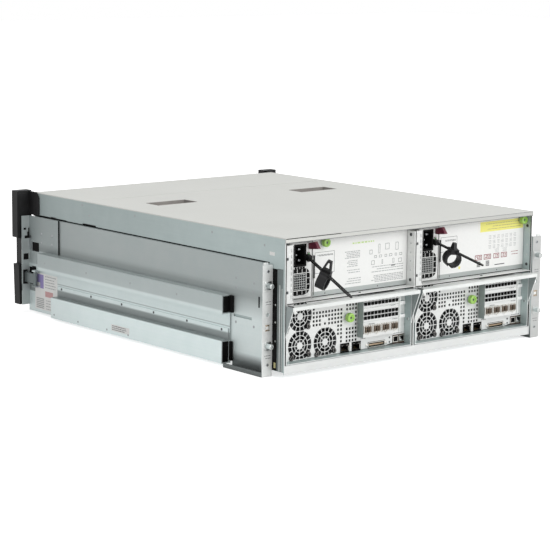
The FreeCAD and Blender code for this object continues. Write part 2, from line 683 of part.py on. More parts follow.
def controller_faceplate():
    """Rear face: perforated sheets round the fan grilles and beside the card slots, and the port strip."""
    face = f"{REAR} - recess_lower"
    right, left = "module_right + 1.2", "module_right + module_width - 1.2"
    top = "module_top - 1.2"
    card_left, card_right = "slot_box_left - 1", "slot_box_right + 1"
    blanks = {}
    for name, low, high in (("fan", ("face_seam", "module_base + 1.2"), (left, top)),
                            ("vent", (card_left, "strip_top"), ("face_seam", top))):
        blanks[name] = new_body(f"{name}_sheet_blank")
        pad(blanks[name], f"{name}_sheet", "y", f"{face} - 1", face, drawn(rectangle, low, high))
    cells = ring_grille()
    vents = group("vents", [vent_cells()], ("0", face, "0"))
    cutters = [vents]
    fans = (("near_low", "fan_near", "fan_low"), ("far_low", "fan_far", "fan_low"),
            ("near_high", "fan_near", "fan_high - 2.4"))
    for name, across, up in fans:
        cutters.append(group(f"grille_{name}", cells, (across, face, up)))
    cutters.append(prism("face_tooling_hole", ("142.5", f"{face} - 3", "54.4"), "1.7", "6", 8))
    screw_hole = rod("face_screw_hole", ("screw_across", f"{face} - 3", "screw_up"), "screw_hole", "6")
    sheets = [cut("fan_sheet_cut", blanks["fan"], group("fan_sheet_cutters", cutters)),
              cut("vent_sheet_cut", blanks["vent"], group("vent_sheet_cutters", [vents, screw_hole]))]
    rims = (("over", (right, "slot_box_top - 1"), (card_left, top)),
            ("beside", (right, "strip_top"), (card_right, "slot_box_top - 1")),
            ("under", (card_right, "strip_top"), (card_left, "slot_box_base + 1")))
    for name, low, high in rims:
        sheets.append(box(f"sheet_{name}_cards", (low[0], f"{face} - 1", low[1]), (high[0], face, high[1])))
    return group("controller_face", sheets + port_strip(face))


def tube(name, low, high, wall, back=None):
    """The walls of a square tube along +Y, and its back where it has one, as separate sheets."""
    inner_low = (f"{low[0]} + {wall}", low[1], f"{low[2]} + {wall}")
    inner_high = (f"{high[0]} - {wall}", high[1], f"{high[2]} - {wall}")
    sheets = [
        box(f"{name}_floor", low, (high[0], high[1], inner_low[2])),
        box(f"{name}_roof", (low[0], low[1], inner_high[2]), high),
        box(f"{name}_right", (low[0], low[1], inner_low[2]), (inner_low[0], high[1], inner_high[2])),
        box(f"{name}_left", (inner_high[0], low[1], inner_low[2]), (high[0], high[1], inner_high[2])),
    ]
    if back:
        sheets.append(box(f"{name}_back", inner_low, (inner_high[0], f"{low[1]} + {back}", inner_high[2])))
    return sheets


def controller_brackets():
    """Raised card-slot box with two vented blanks, one port card and its four cages."""
    face = f"{REAR} - recess_lower + 0.05"
    front = f"{REAR} - recess_lower + slot_box_depth"
    sheets = tube("slot_box", ("slot_box_right", face, "slot_box_base"),
                  ("slot_box_left", f"{front} - 1.2", "slot_box_top"), "1")
    for index, (base, top) in enumerate((("69.4", "slot_box_top"), ("51.2", "68.6"))):
        holes = []
        for column in range(10):
            for row in (0, 1):
                across = f"84.4 - {column} * 6.06"
                up = f"{base} + 5.2 + {row} * 5.7"
                holes.append(box(f"blank_{index}_hole_{column}_{row}", (f"{across} - 1.9", f"{front} - 3", f"{up} - 1.9"),
                                 (f"{across} + 1.9", f"{front} + 2", f"{up} + 1.9")))
        plate = box(f"blank_{index}_plate", ("slot_box_right", f"{front} - 1.1", base),
                    ("slot_box_left", front, top))
        sheets.append(cut(f"blank_{index}", plate, group(f"blank_{index}_holes", holes)))
    edge = "slot_box_left"
    for port in range(4):
        across = 79.5 - port * 15.4
        sheets.append(box(f"card_post_{port}", (f"{across + 6.9}", f"{front} - 1.1", "36"), (edge, front, "46.4")))
        edge = f"{across - 6.9}"
        sheets += tube(f"cage_{port}", (f"{across - 6.8}", f"{front} - 42", "36.1"),
                       (f"{across + 6.8}", f"{front} + 1", "46.3"), "0.5", "2")
    sheets.append(box("card_post_4", ("slot_box_right", f"{front} - 1.1", "36"), (edge, front, "46.4")))
    for name, base, top in (("sill", "slot_box_base", "36"), ("head", "46.4", "50.4")):
        sheets.append(box(f"card_{name}", ("slot_box_right", f"{front} - 1.1", base), ("slot_box_left", front, top)))
    return group("bracket_solids", sheets)


def controller_fans():
    """Three axial fans behind the grilles: square frames with bladed rotors."""
    solids = []
    back = f"{REAR} - recess_lower - 1.3"
    blade_turns = range(5)
    for name, across, up in (("near_low", "fan_near", "fan_low"), ("far_low", "fan_far", "fan_low"),
                             ("near_high", "fan_near", "fan_high - 2.4")):
        half = "(fan_radius - 0.3)"
        shell = box(f"fan_shell_{name}", (f"{across} - {half}", f"{back} - 20", f"{up} - {half} + 1.3"),
                    (f"{across} + {half}", back, f"{up} + {half} - 0.9"))
        bore = prism(f"fan_bore_{name}", (across, f"{back} - 21", up), "fan_radius - 1.9", "22", 16)
        solids.append(cut(f"fan_frame_{name}", shell, bore))
        blades = [prism(f"fan_hub_{name}", (across, f"{back} - 16", up), "6.2", "14", 8)]
        for step in blade_turns:
            blade = doc.addObject("Part::Box", f"fan_blade_{name}_{step}")
            blade.Length, blade.Width, blade.Height = 10.6, 1.2, 9
            spin = Rotation(Vector(0, 1, 0), 72 * step)
            tilt = spin.multiply(Rotation(Vector(1, 0, 0), 35))
            blade.Placement = Placement(Vector(), tilt)
            offset = spin.multVec(Vector(5.4, 0, -4.5))
            place(blade, (f"{across} + {offset.x:.4f}", f"{back} - 9 + {offset.y:.4f}", f"{up} + {offset.z:.4f}"))
            blades.append(blade)
        solids.append(fuse(f"fan_rotor_{name}", blades))
    return group("fan_solids", solids)


def controller_io():
    """System board with the port shells that stand in the face cut-outs."""
    face = f"{REAR} - recess_lower"
    solids = [box("system_board", ("module_right + 3", "module_front + 4", "module_base + 3"),
                  ("117", f"{face} - 3", "module_base + 0.9 + 3.2"))]
    for name, across, up, width, height in JACKS:
        low = (f"{across - width / 2 + 0.2}", f"{face} - 17", f"{up - height / 2 + 0.2}")
        high = (f"{across + width / 2 - 0.2}", f"{face} + 0.6", f"{up + height / 2 - 0.2}")
        shell = box(f"{name}_shell", low, high)
        mouth = box(f"{name}_mouth", (f"{low[0]} + 0.8", f"{face} - 13", f"{low[2]} + 0.8"),
                    (f"{high[0]} - 0.8", f"{face} + 2", f"{high[2]} - 0.8"))
        solids.append(cut(f"{name}_socket", shell, mouth))
    return group("io_solids", solids)


def controller_handle():
    """Pull-down handle: two side arms and the folded bar across the module's top."""
    body = new_body("controller_handle_blank")
    left = "module_right + module_width"
    pivot = (f"{REAR} - handle_pivot_back", "handle_pivot_up")
    arm = [
        (f"{pivot[0]} - 5", f"{pivot[1]} - 5"), (f"{pivot[0]} + 5", f"{pivot[1]} - 5"),
        (f"{REAR} + 0.5", f"{pivot[1]} + 3"), (f"{REAR} + handle_reach", "handle_top - 3.4"),
        (f"{REAR} + handle_reach", "handle_top"), (f"{REAR} + 1", "handle_top"),
        (f"{REAR} + 1", "handle_top - 3.4"), (f"{pivot[0]} - 5", f"{pivot[1]} + 10"),
    ]
    pad(body, "handle_arm_left", "x", f"{left} + 0.3", f"{left} + 1.5", drawn(outline, arm))
    bar = [
        (f"{REAR} + 1", "handle_top"), (f"{REAR} + 1", "handle_top - 1.2"),
        (f"{REAR} + handle_reach - 1.2", "handle_top - 1.2"), (f"{REAR} + handle_reach - 1.2", "handle_top - 4.4"),
        (f"{REAR} + handle_reach", "handle_top - 4.4"), (f"{REAR} + handle_reach", "handle_top"),
    ]
    pad(body, "handle_bar", "x", "module_right - 1.5", f"{left} + 1.5", drawn(outline, bar))
    pad(body, "handle_arm_right", "x", "module_right - 1.5", "module_right - 0.3", drawn(outline, arm))
    for name, start, end in (("right", "module_right - 0.4", "module_right + 1.8"),
                             ("left", f"{left} - 1.8", f"{left} + 0.4")):
        pad(body, f"handle_pin_{name}", "x", start, end, drawn(circle, pivot, "handle_pin"))
    return body


def controllers():
    face = f"{REAR} - recess_lower"
    parts = {
        "case": controller_case(),
        "faceplate": controller_faceplate(),
        "brackets": controller_brackets(),
        "fans": controller_fans(),
        "io": controller_io(),
        "handle": controller_handle(),
        "thumbscrew": thumbscrew("module_screw", ("screw_across", face, "screw_up"), "9"),
    }
    for side, shift in (("left", "0"), ("right", "-bay_pitch")):
        for name, solid in parts.items():
            node(f"controller_{side}_{name}", group(f"controller_{side}_{name}", [solid], (shift, "0", "0")))


# ---------------------------------------------------------------- power supplies
SUPPLY_MIDDLE = "(supply_right + supply_width / 2)"
INLET_BASE = "(supply_base + 40.5)"


def supply_case():
    """Narrow case with its vented face and mains inlet."""
    face = f"{REAR} - recess_upper"
    left = "supply_right + supply_width"
    top = "supply_base + supply_height"
    sheets = tube("supply", ("supply_right", "module_front", "supply_base"), (left, f"{face} - 1.2", top), "1", "1")
    plate = box("supply_face_blank", ("supply_right", f"{face} - 1.2", "supply_base"), (left, face, top))
    cutters = [box("inlet_opening", (f"{SUPPLY_MIDDLE} - inlet_width / 2", f"{face} - 3", INLET_BASE),
                   (f"{SUPPLY_MIDDLE} + inlet_width / 2", f"{face} + 3", f"{INLET_BASE} + inlet_height"))]
    cutters.append(box("latch_slot", ("supply_right + 2.1", f"{face} - 3", "153.7"),
                       ("supply_right + 5.7", f"{face} + 3", "158.3")))
    step, bar = 9.0, 1.5
    for column in range(4):
        for row in range(4):
            corner = column in (0, 3) and row in (0, 3)
            centre = column in (1, 2) and row in (1, 2)
            if corner or centre:
                continue
            low_x = f"{SUPPLY_MIDDLE} + {(column - 2) * step + bar / 2}"
            low_z = f"supply_base + supply_fan_up + {(row - 2) * step + bar / 2}"
            cutters.append(box(f"supply_cell_{column}_{row}", (low_x, f"{face} - 3", low_z),
                               (f"{low_x} + {step - bar}", f"{face} + 3", f"{low_z} + {step - bar}")))
    for column in range(3):
        for row in range(3):
            low_x = f"{SUPPLY_MIDDLE} + {(column - 1.5) * step * 2 / 3 + 0.6}"
            low_z = f"supply_base + supply_fan_up + {(row - 1.5) * step * 2 / 3 + 0.6}"
            cutters.append(box(f"supply_mesh_{column}_{row}", (low_x, f"{face} - 3", low_z),
                               (f"{low_x} + 4.8", f"{face} + 3", f"{low_z} + 4.8")))
    sheets.append(cut("supply_face", plate, group("supply_cutters", cutters)))
    socket = cut("inlet_socket",
                 box("inlet_block", (f"{SUPPLY_MIDDLE} - inlet_width / 2 + 0.1", f"{face} - 22", f"{INLET_BASE} + 0.1"),
                     (f"{SUPPLY_MIDDLE} + inlet_width / 2 - 0.1", f"{face} + 0.8", f"{INLET_BASE} + inlet_height - 0.1")),
                 box("inlet_well", (f"{SUPPLY_MIDDLE} - inlet_width / 2 + 1.6", f"{face} - 17", f"{INLET_BASE} + 1.6"),
                     (f"{SUPPLY_MIDDLE} + inlet_width / 2 - 1.6", f"{face} + 2", f"{INLET_BASE} + inlet_height - 1.6")))
    blades = []
    for name, across, up in (("line", "-3", "7"), ("neutral", "-3", "-7"), ("earth", "3", "0")):
        middle = f"{INLET_BASE} + inlet_height / 2 + {up}"
        blades.append(box(f"inlet_blade_{name}", (f"{SUPPLY_MIDDLE} + {across} - 2", f"{face} - 18", f"{middle} - 1"),
                          (f"{SUPPLY_MIDDLE} + {across} + 2", f"{face} - 4", f"{middle} + 1")))
    return group("supply_solids", sheets + [fuse("inlet", [socket] + blades)])


def supply_latch():
    """Coloured thumb latch beside the supply's top corner."""
    body = new_body("supply_latch_blank")
    face = f"{REAR} - recess_upper + 0.4"
    tab = [
        (face, "152.6"), (f"{REAR} - 11", "152.2"), (f"{REAR} + 4.3", "154.1"), (f"{REAR} - 2.3", "162.6"),
        (face, "159.2"),
    ]
    pad(body, "latch_tab", "x", "supply_right + 1.6", "supply_right + 6.2", drawn(outline, tab))
    pad(body, "latch_neck", "x", "supply_right + 3.2", "supply_right + 4.6",
        drawn(rectangle, (f"{face} - 2.6", "154.4"), (f"{face} + 0.5", "157.6")))
    pin = rod("latch_pivot_pin", ("supply_right + 3.9", f"{face} - 2.6", "154.2"), "1.2", "3.6", "z")
    return fuse("supply_latch_moulded", [body, pin])


STRAP_UP = 142.0             # anchor height
STRAP_LENGTH = 92.0
STRAP_FALL = {"left": 25.5, "right": 12.6}   # degrees below level
STRAP_SIZE = (4.6, 1.7)      # width, thickness
STRAP_ACROSS = 171.5


def strap_frame(side, along=0.0):
    """Placement of the strap's own axes: X across, Y along it, Z out of its flat side."""
    face = value_of["chassis_depth"] / 2 - value_of["recess_upper"]
    turn = Rotation(Vector(1, 0, 0), -STRAP_FALL[side])
    start = Vector(STRAP_ACROSS, face + 0.6, STRAP_UP)
    return Placement(start + turn.multVec(Vector(0, along, 0)), turn)


def supply_strap(side):
    """Moulded ladder strap that stands out of the supply's face, with its anchor."""
    width, thick = STRAP_SIZE
    solid = Part.makeBox(width, STRAP_LENGTH - 6, thick, Vector(-width / 2, 0, -thick / 2))
    taper = Part.makePolygon([Vector(-width / 2, STRAP_LENGTH - 6, -thick / 2),
                              Vector(width / 2, STRAP_LENGTH - 6, -thick / 2),
                              Vector(width / 5, STRAP_LENGTH, -thick / 2),
                              Vector(-width / 5, STRAP_LENGTH, -thick / 2),
                              Vector(-width / 2, STRAP_LENGTH - 6, -thick / 2)])
    solid = solid.fuse(Part.Face(taper).extrude(Vector(0, 0, thick)))
    window = Part.makeBox(width - 2, 3.2, thick + 2, Vector(1 - width / 2, 0, -thick / 2 - 1))
    for step in range(13):
        solid = solid.cut(window.translated(Vector(0, 10 + 5.8 * step, 0)))
    root = Part.makeBox(5.4, 7, 7, Vector(-2.7, -1.5, -3.5))
    solid = solid.fuse(root)
    solid.Placement = strap_frame(side)
    face = value_of["chassis_depth"] / 2 - value_of["recess_upper"]
    behind = Part.makeBox(60, 60, 80, Vector(STRAP_ACROSS - 30, face - 60, 100))
    strap = doc.addObject("Part::Feature", f"supply_strap_{side}")
    strap.Shape = solid.cut(behind).removeSplitter()
    return strap


def barrel(radius, length, height, sides=16):
    """A many-sided drum along Y, centred at a height."""
    turns = [2 * math.pi * i / sides for i in range(sides + 1)]
    rim = Part.makePolygon([Vector(radius * math.cos(a), -length / 2, height + radius * math.sin(a)) for a in turns])
    return Part.Face(rim).extrude(Vector(0, length, 0))


def plug_clip(side, along, twist, loop_height):
    """Cord clamp that slides on the strap: a head with a finger loop, over an open ring."""
    width, thick = STRAP_SIZE
    head = Part.makeBox(11, 13, 6.6, Vector(-5.5, -6.5, -3.3))
    hoop, bore = barrel(11.4, 12, -10.6), barrel(8.6, 16, -10.6)
    gap = Part.makeBox(5, 16, 10.5, Vector(1.5, -8, -26))
    clamp = hoop.cut(bore).cut(gap)
    tip = loop_height
    loop = Part.makePolygon([Vector(-2, -6.5, 3), Vector(-2, 6.5, 3), Vector(-2, 2.8, tip), Vector(-2, -2.8, tip),
                             Vector(-2, -6.5, 3)])
    eye = Part.makePolygon([Vector(-4, -3, 7), Vector(-4, 3, 7), Vector(-4, 1.1, tip - 3),
                            Vector(-4, -1.1, tip - 3), Vector(-4, -3, 7)])
    finger = Part.Face(loop).extrude(Vector(4, 0, 0)).cut(Part.Face(eye).extrude(Vector(8, 0, 0)))
    solid = head.fuse(clamp).fuse(finger)
    solid.Placement = Placement(Vector(), Rotation(Vector(0, 0, 1), twist))
    slot = Part.makeBox(width + 0.7, 60, thick + 0.7, Vector(-(width + 0.7) / 2, -30, -(thick + 0.7) / 2))
    solid = solid.cut(slot).removeSplitter()
    solid.Placement = strap_frame(side, along)
    clip = doc.addObject("Part::Feature", f"plug_clip_{side}")
    clip.Shape = solid
    return clip


def supplies():
    case, latch = supply_case(), supply_latch()
    clips = {"left": plug_clip("left", 38.0, 28.0, 19.0), "right": plug_clip("right", 36.0, -22.0, 11.0)}
    for side, shift in (("left", "0"), ("right", "-bay_pitch")):
        solids = (("case", case), ("latch", latch), ("strap", supply_strap(side)), ("clip", clips[side]))
        for name, solid in solids:
            node(f"psu_{side}_{name}", group(f"psu_{side}_{name}", [solid], (shift, "0", "0")))


# ---------------------------------------------------------------- assembly
def check_and_write():
    doc.recompute()
    for thing in doc.Objects:
        if {"Invalid", "Error"} & set(thing.State):
            raise RuntimeError(f"{thing.Name} failed: {thing.State}")
    os.makedirs("parts", exist_ok=True)
    for thing in nodes:
        if thing.Shape.isNull() or not thing.Shape.isValid():
            raise RuntimeError(f"{thing.Label} has no valid shape")
    for thing in nodes:
        thing.Shape.exportStep(f"parts/{thing.Label}.step")
    print(f"{len(nodes)} sub-parts written")


chassis_tray()
front_top_cover()
rear_top_cover()
bay_frame()
drive_cage()
midplane()
rear_panel("left", "skin / 2 + 0.6", "supply_right - 0.3 - skin - 0.3")
rear_panel("right", f"0.5 + skin - {HALF}", "supply_right - 0.6 - skin - bay_pitch")
for side, across in PANEL_SCREWS.items():
    screw = thumbscrew(f"panel_screw_{side}", (across, f"{REAR} - recess_upper", PANEL_SCREW_UP), "6", "5.6")
    node(f"panel_thumbscrew_{side}", screw)
left_ear = ear("left")
node("ear_left", group("ear_left", [left_ear]))
node("ear_right", mirror("ear_right", left_ear))
rails()
carriers()
controllers()
supplies()
check_and_write()
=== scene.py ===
import math
import random

import bmesh
import bpy
from mathutils import Matrix, Vector


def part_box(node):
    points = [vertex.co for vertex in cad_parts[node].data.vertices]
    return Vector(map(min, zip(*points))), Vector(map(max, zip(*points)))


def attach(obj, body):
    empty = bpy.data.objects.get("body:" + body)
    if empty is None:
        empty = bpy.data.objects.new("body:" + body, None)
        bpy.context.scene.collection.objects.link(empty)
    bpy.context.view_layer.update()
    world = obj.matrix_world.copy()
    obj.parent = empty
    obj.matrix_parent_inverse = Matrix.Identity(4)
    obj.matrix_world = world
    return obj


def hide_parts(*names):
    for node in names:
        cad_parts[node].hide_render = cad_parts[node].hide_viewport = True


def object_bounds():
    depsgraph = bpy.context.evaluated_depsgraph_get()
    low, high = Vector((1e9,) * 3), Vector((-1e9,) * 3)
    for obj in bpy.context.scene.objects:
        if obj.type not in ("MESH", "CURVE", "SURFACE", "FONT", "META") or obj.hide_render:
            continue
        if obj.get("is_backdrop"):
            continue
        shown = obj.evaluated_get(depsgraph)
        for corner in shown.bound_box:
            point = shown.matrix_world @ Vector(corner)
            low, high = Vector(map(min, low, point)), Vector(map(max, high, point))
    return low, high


# A disk shelf enclosure for a 19-inch rack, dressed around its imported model.
# Its left is +X, its rear faces +Y, and +Z is up. Lengths in the piece functions are millimetres
# from a corner or a face of what carries the piece.

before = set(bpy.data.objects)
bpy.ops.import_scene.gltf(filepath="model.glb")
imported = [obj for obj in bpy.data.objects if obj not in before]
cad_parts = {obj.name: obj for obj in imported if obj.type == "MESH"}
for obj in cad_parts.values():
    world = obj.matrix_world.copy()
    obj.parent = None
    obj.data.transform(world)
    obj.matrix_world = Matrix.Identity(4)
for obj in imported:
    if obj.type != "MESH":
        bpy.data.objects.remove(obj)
CAD_LOW, CAD_HIGH = (list(corner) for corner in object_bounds())
MM = 0.001
SIDES = ("left", "right")


# ---------------------------------------------------------------- finishes
class Value:
    """One output of a finish's nodes. Arithmetic on it adds Math nodes."""

    def __init__(self, finish, socket):
        self.finish = finish
        self.socket = socket

    def math(self, operation, *terms):
        return self.finish.node("ShaderNodeMath", {"operation": operation}, dict(enumerate(terms)))

    def __add__(self, other):
        return self.math("ADD", self, other)

    def __mul__(self, other):
        return self.math("MULTIPLY", self, other)

    def __gt__(self, other):
        return self.math("GREATER_THAN", self, other)

    def __abs__(self):
        return self.math("ABSOLUTE", self)


class Finish:
    """A named material, with one method that adds any node."""

    def __init__(self, name, roughness=0.5, metallic=0.0, colour=(0.8, 0.8, 0.8), **constants):
        self.material = bpy.data.materials.new(name)
        self.material.use_nodes = True
        self.tree = self.material.node_tree
        self.surface = self.tree.nodes["Principled BSDF"]
        self.feed(self.surface, "Base Color", (*colour, 1))
        self.feed(self.surface, "Roughness", roughness)
        self.feed(self.surface, "Metallic", metallic)
        for socket, value in constants.items():
            self.feed(self.surface, socket.replace("_", " "), value)

    def feed(self, node, socket, value):
        if isinstance(value, Value):
            self.tree.links.new(value.socket, node.inputs[socket])
        else:
            node.inputs[socket].default_value = value

    def node(self, kind, settings=None, inputs=None, output=0):
        """A new node: its settings, what its sockets get, and which output is wanted."""
        made = self.tree.nodes.new(kind)
        for name, value in (settings or {}).items():
            if name == "stops":
                ramp = made.color_ramp.elements
                ramp.remove(ramp[1])
                for i, (place, shade) in enumerate(value):
                    stop = ramp.new(place) if i else ramp[0]
                    stop.color = (shade, shade, shade, 1)
            else:
                setattr(made, name, value)
        for socket, value in (inputs or {}).items():
            self.feed(made, socket, value)
        return Value(self, made.outputs[output])

    def place(self, stretch=(1, 1, 1)):
        """Object coordinates, stretched."""
        where = self.node("ShaderNodeTexCoord", output="Object")
        return self.node("ShaderNodeMapping", {}, {"Vector": where, "Scale": stretch})

    def noise(self, scale, stretch=(1, 1, 1), detail=3.0, roughness=0.5):
        return self.node("ShaderNodeTexNoise", {}, {"Vector": self.place(stretch), "Scale": scale,
                                                    "Detail": detail, "Roughness": roughness})

    def spread(self, value, low, high, start=0.0, end=1.0):
        """Value taken from the range start..end to low..high."""
        return self.node("ShaderNodeMapRange", {}, {"Value": value, "From Min": start, "From Max": end,
                                                    "To Min": low, "To Max": high})

    def mix(self, share, first, second, way="MIX"):
        """Two colours or colour outputs mixed by a share."""
        colours = {6: first if isinstance(first, Value) else (*first, 1),
                   7: second if isinstance(second, Value) else (*second, 1)}
        settings = {"data_type": "RGBA", "blend_type": way}
        return self.node("ShaderNodeMix", settings, {0: share, **colours}, output=2)

    def part(self, vector, axis):
        """One component of a vector output."""
        return self.node("ShaderNodeSeparateXYZ", {}, {"Vector": vector}, "XYZ".index(axis))

    def facing(self, axis):
        """1 where the surface is nearer to square to an axis than to along it, else 0."""
        return abs(self.part(self.node("ShaderNodeNewGeometry", output="True Normal"), axis)) > 0.7

    def painted_shade(self, colour, axis, stops):
        """A colour darkened along an axis as painted shade, by pairs of place in millimetres and brightness.
        """
        low, high = stops[0][0], stops[-1][0]
        where = self.part(self.node("ShaderNodeTexCoord", output="Object"), axis)
        along = self.spread(where, 0.0, 1.0, low * MM, high * MM)
        stops = [((place - low) / (high - low), shade) for place, shade in stops]
        shades = self.node("ShaderNodeValToRGB", {"stops": stops}, {"Fac": along})
        return self.mix(1.0, colour, shades, "MULTIPLY")

    def paint(self, socket, value):
        self.feed(self.surface, socket, value)

    def bump(self, height, strength=0.2, distance=0.0002):
        inputs = {"Height": height, "Strength": strength, "Distance": distance}
        self.paint("Normal", self.node("ShaderNodeBump", {}, inputs))

    def dress(self, *objects):
        for thing in objects:
            if not thing.material_slots:
                thing.data.materials.append(self.material)
            for held in thing.material_slots:
                held.material = self.material


def cover_paint():
    """Warm pale grey powder coat with a fine orange peel; painted shade darkens its rear-facing lip towards
    -X.
    """
    finish = Finish("cover_powder_coat", roughness=0.5)
    cloud = finish.noise(9, detail=2.0)
    peel = finish.noise(900, detail=2.0)
    colour = finish.mix(cloud, (0.61, 0.618, 0.585), (0.66, 0.667, 0.635))
    # painted shade: faces square to Y darken towards -X
    lip = finish.painted_shade(colour, "X", [(-220, 0.78), (0, 0.88), (220, 1.0)])
    finish.paint("Base Color", finish.mix(finish.facing("Y"), colour, lip))
    finish.paint("Roughness", finish.spread(peel, 0.44, 0.56))
    finish.bump(peel, 0.12)
    return finish


def zinc_sheet(name, dark, light, metallic=0.35, roughness=0.42, grain=(1, 1, 1), painted_shades=(), ends=None,
               end_painted_shades=(), sides=None):
    """Zinc-plated sheet steel: soft spangle, faint rolling lines and handling marks.

    Painted shades darken it along an axis. Ends and sides are painted light and shade: its colours on faces
    square to Y and to X.
    """
    finish = Finish(name, metallic=metallic)
    spangle = finish.noise(42, detail=4.0, roughness=0.6)
    lines = finish.noise(16, stretch=(grain[0], grain[1], 26 * grain[2]), detail=5.0, roughness=0.7)
    marks = finish.noise(7, detail=6.0, roughness=0.65)
    share = finish.spread(spangle * 0.45 + lines * 0.35 + marks * 0.2, 0.0, 1.0, 0.34, 0.66)
    colour = finish.mix(share, dark, light)
    # painted shade: darker along each axis, standing in for light falling off
    for axis, stops in painted_shades:
        colour = finish.painted_shade(colour, axis, stops)
    # painted light and shade: faces square to Y and to X take colours of their own
    for axis, shade, shade_tones in (("Y", ends, end_painted_shades), ("X", sides, ())):
        if shade:
            plain = finish.mix(share, tuple(part * 0.93 for part in shade), shade)
            for along, stops in shade_tones:
                plain = finish.painted_shade(plain, along, stops)
            colour = finish.mix(finish.facing(axis), colour, plain)
    finish.paint("Base Color", colour)
    wear = lines * 0.6 + spangle * 0.4
    finish.paint("Roughness", finish.spread(wear, roughness - 0.07, roughness + 0.09))
    finish.bump(lines * 0.5 + spangle * 0.5, 0.06)
    return finish


def moulded(name, colour, lift=1.25, roughness=0.5, grain=1400, **constants):
    """Moulded plastic with a fine spark-eroded grain and slightly rubbed patches."""
    finish = Finish(name, **constants)
    texture = finish.noise(grain, detail=2.0)
    rub = finish.noise(38, detail=4.0)
    brighter = tuple(min(1.0, part * lift + 0.004) for part in colour)
    finish.paint("Base Color", finish.mix(finish.spread(rub, 0, 1, 0.35, 0.7), colour, brighter))
    finish.paint("Roughness", finish.spread(rub, roughness - 0.06, roughness + 0.08))
    finish.bump(texture, 0.15, 0.00008)
    return finish


def plated(name, colour, roughness=0.25):
    """Bright plated metal of small parts."""
    finish = Finish(name, metallic=1.0)
    wear = finish.noise(160, detail=4.0)
    darker = tuple(part * 0.8 for part in colour)
    finish.paint("Base Color", finish.mix(wear, darker, colour))
    finish.paint("Roughness", finish.spread(wear, roughness - 0.05, roughness + 0.12))
    return finish


def printed(name, colour, roughness=0.55):
    """Ink or coated paper: nearly even, a little mottled."""
    finish = Finish(name)
    mottle = finish.noise(300, detail=3.0)
    darker = tuple(part * 0.94 for part in colour)
    finish.paint("Base Color", finish.mix(mottle, darker, colour))
    finish.paint("Roughness", finish.spread(mottle, roughness - 0.04, roughness + 0.06))
    return finish


def board_laminate():
    """Green circuit board with a pattern of tracks under the lacquer."""
    finish = Finish("circuit_laminate")
    tracks = finish.node("ShaderNodeTexBrick", {"offset": 0.37, "squash": 0.6},
                         {"Vector": finish.place(), "Scale": 130.0, "Mortar Size": 0.03}, output="Fac")
    finish.paint("Base Color", finish.mix(tracks, (0.012, 0.09, 0.04), (0.03, 0.17, 0.075)))
    finish.paint("Roughness", finish.spread(tracks, 0.35, 0.5))
    finish.bump(tracks, 0.2, 0.00005)
    return finish


def lit_lens(name, colour):
    """Small lens of an indicator, unlit."""
    finish = Finish(name)
    depth = finish.noise(700, detail=1.0)
    darker = tuple(part * 0.6 for part in colour)
    finish.paint("Base Color", finish.mix(depth, darker, colour))
    finish.paint("Roughness", finish.spread(depth, 0.12, 0.25))
    return finish


COVER = cover_paint()
# Painted shade along the walls and rails: darker towards the front, with painted shadow in the rails'
# grooves, at the channel's top and along the slide's foot.
WALL_PAINTED_SHADE = [("Y", [(-290, 0.50), (0, 0.58), (150, 0.66), (285, 0.67)])]
LENGTH_PAINTED_SHADE = ("Y", [(-300, 0.82), (-222, 0.84), (-120, 0.95), (150, 1.0), (300, 1.0)])
PLATE_PAINTED_SHADE = [LENGTH_PAINTED_SHADE,
               ("Z", [(-6, 1.0), (27.4, 1.0), (28.0, 0.33), (36.5, 0.38), (39.0, 0.94), (45.0, 0.94),
                      (45.3, 0.5), (46.2, 0.5), (46.6, 0.90), (66.5, 0.85), (68.5, 0.58), (86.9, 0.56),
                      (88.0, 0.34), (92.0, 0.34), (99.0, 0.465), (138.0, 0.465)])]
SLIDE_PAINTED_SHADE = [LENGTH_PAINTED_SHADE,
               ("Z", [(-6, 0.15), (3.0, 0.2), (9.0, 0.4), (16.0, 0.85), (60.0, 0.85), (80.0, 0.58),
                      (88.0, 0.42), (94.0, 0.40), (101.0, 0.50), (138.0, 0.50)])]
# Faces square to Y are painted lighter on the walls and the slide and darker on the rail plates; the slide's
# ends darken towards -X.
ZINC_SIDE = zinc_sheet("zinc_wall_sheet", (0.655, 0.775, 0.77), (0.755, 0.875, 0.865), painted_shades=WALL_PAINTED_SHADE,
                       ends=(0.76, 0.775, 0.765))
ZINC_RAIL = zinc_sheet("zinc_rail_sheet", (0.79, 0.90, 0.895), (0.875, 0.965, 0.96), grain=(1, 0.15, 1),
                       painted_shades=PLATE_PAINTED_SHADE, ends=(0.46, 0.50, 0.50))
ZINC_SLIDE = zinc_sheet("zinc_slide_sheet", (0.80, 0.90, 0.895), (0.89, 0.965, 0.955), grain=(1, 0.15, 1),
                        painted_shades=SLIDE_PAINTED_SHADE, ends=(0.86, 0.875, 0.86),
                        end_painted_shades=[("X", [(-260, 0.62), (-200, 0.62), (200, 1.0), (260, 1.0)])])
# Dark copy of the zinc: painted shade on the slot box's side wall.
ZINC_BOX_SHADE = zinc_sheet("zinc_box_shade_sheet", (0.27, 0.31, 0.30), (0.33, 0.375, 0.365))
ZINC_FACE = zinc_sheet("nickel_face_sheet", (0.70, 0.71, 0.70), (0.82, 0.83, 0.815), metallic=0.25)
ZINC_BRIGHT = zinc_sheet("zinc_flange_sheet", (0.72, 0.745, 0.73), (0.84, 0.86, 0.84), metallic=0.2)
PANEL_FILM = printed("panel_white_film", (0.86, 0.865, 0.85), 0.4)
SUPPLY_WHITE = zinc_sheet("supply_white_coat", (0.80, 0.81, 0.79), (0.88, 0.885, 0.87), metallic=0.0)
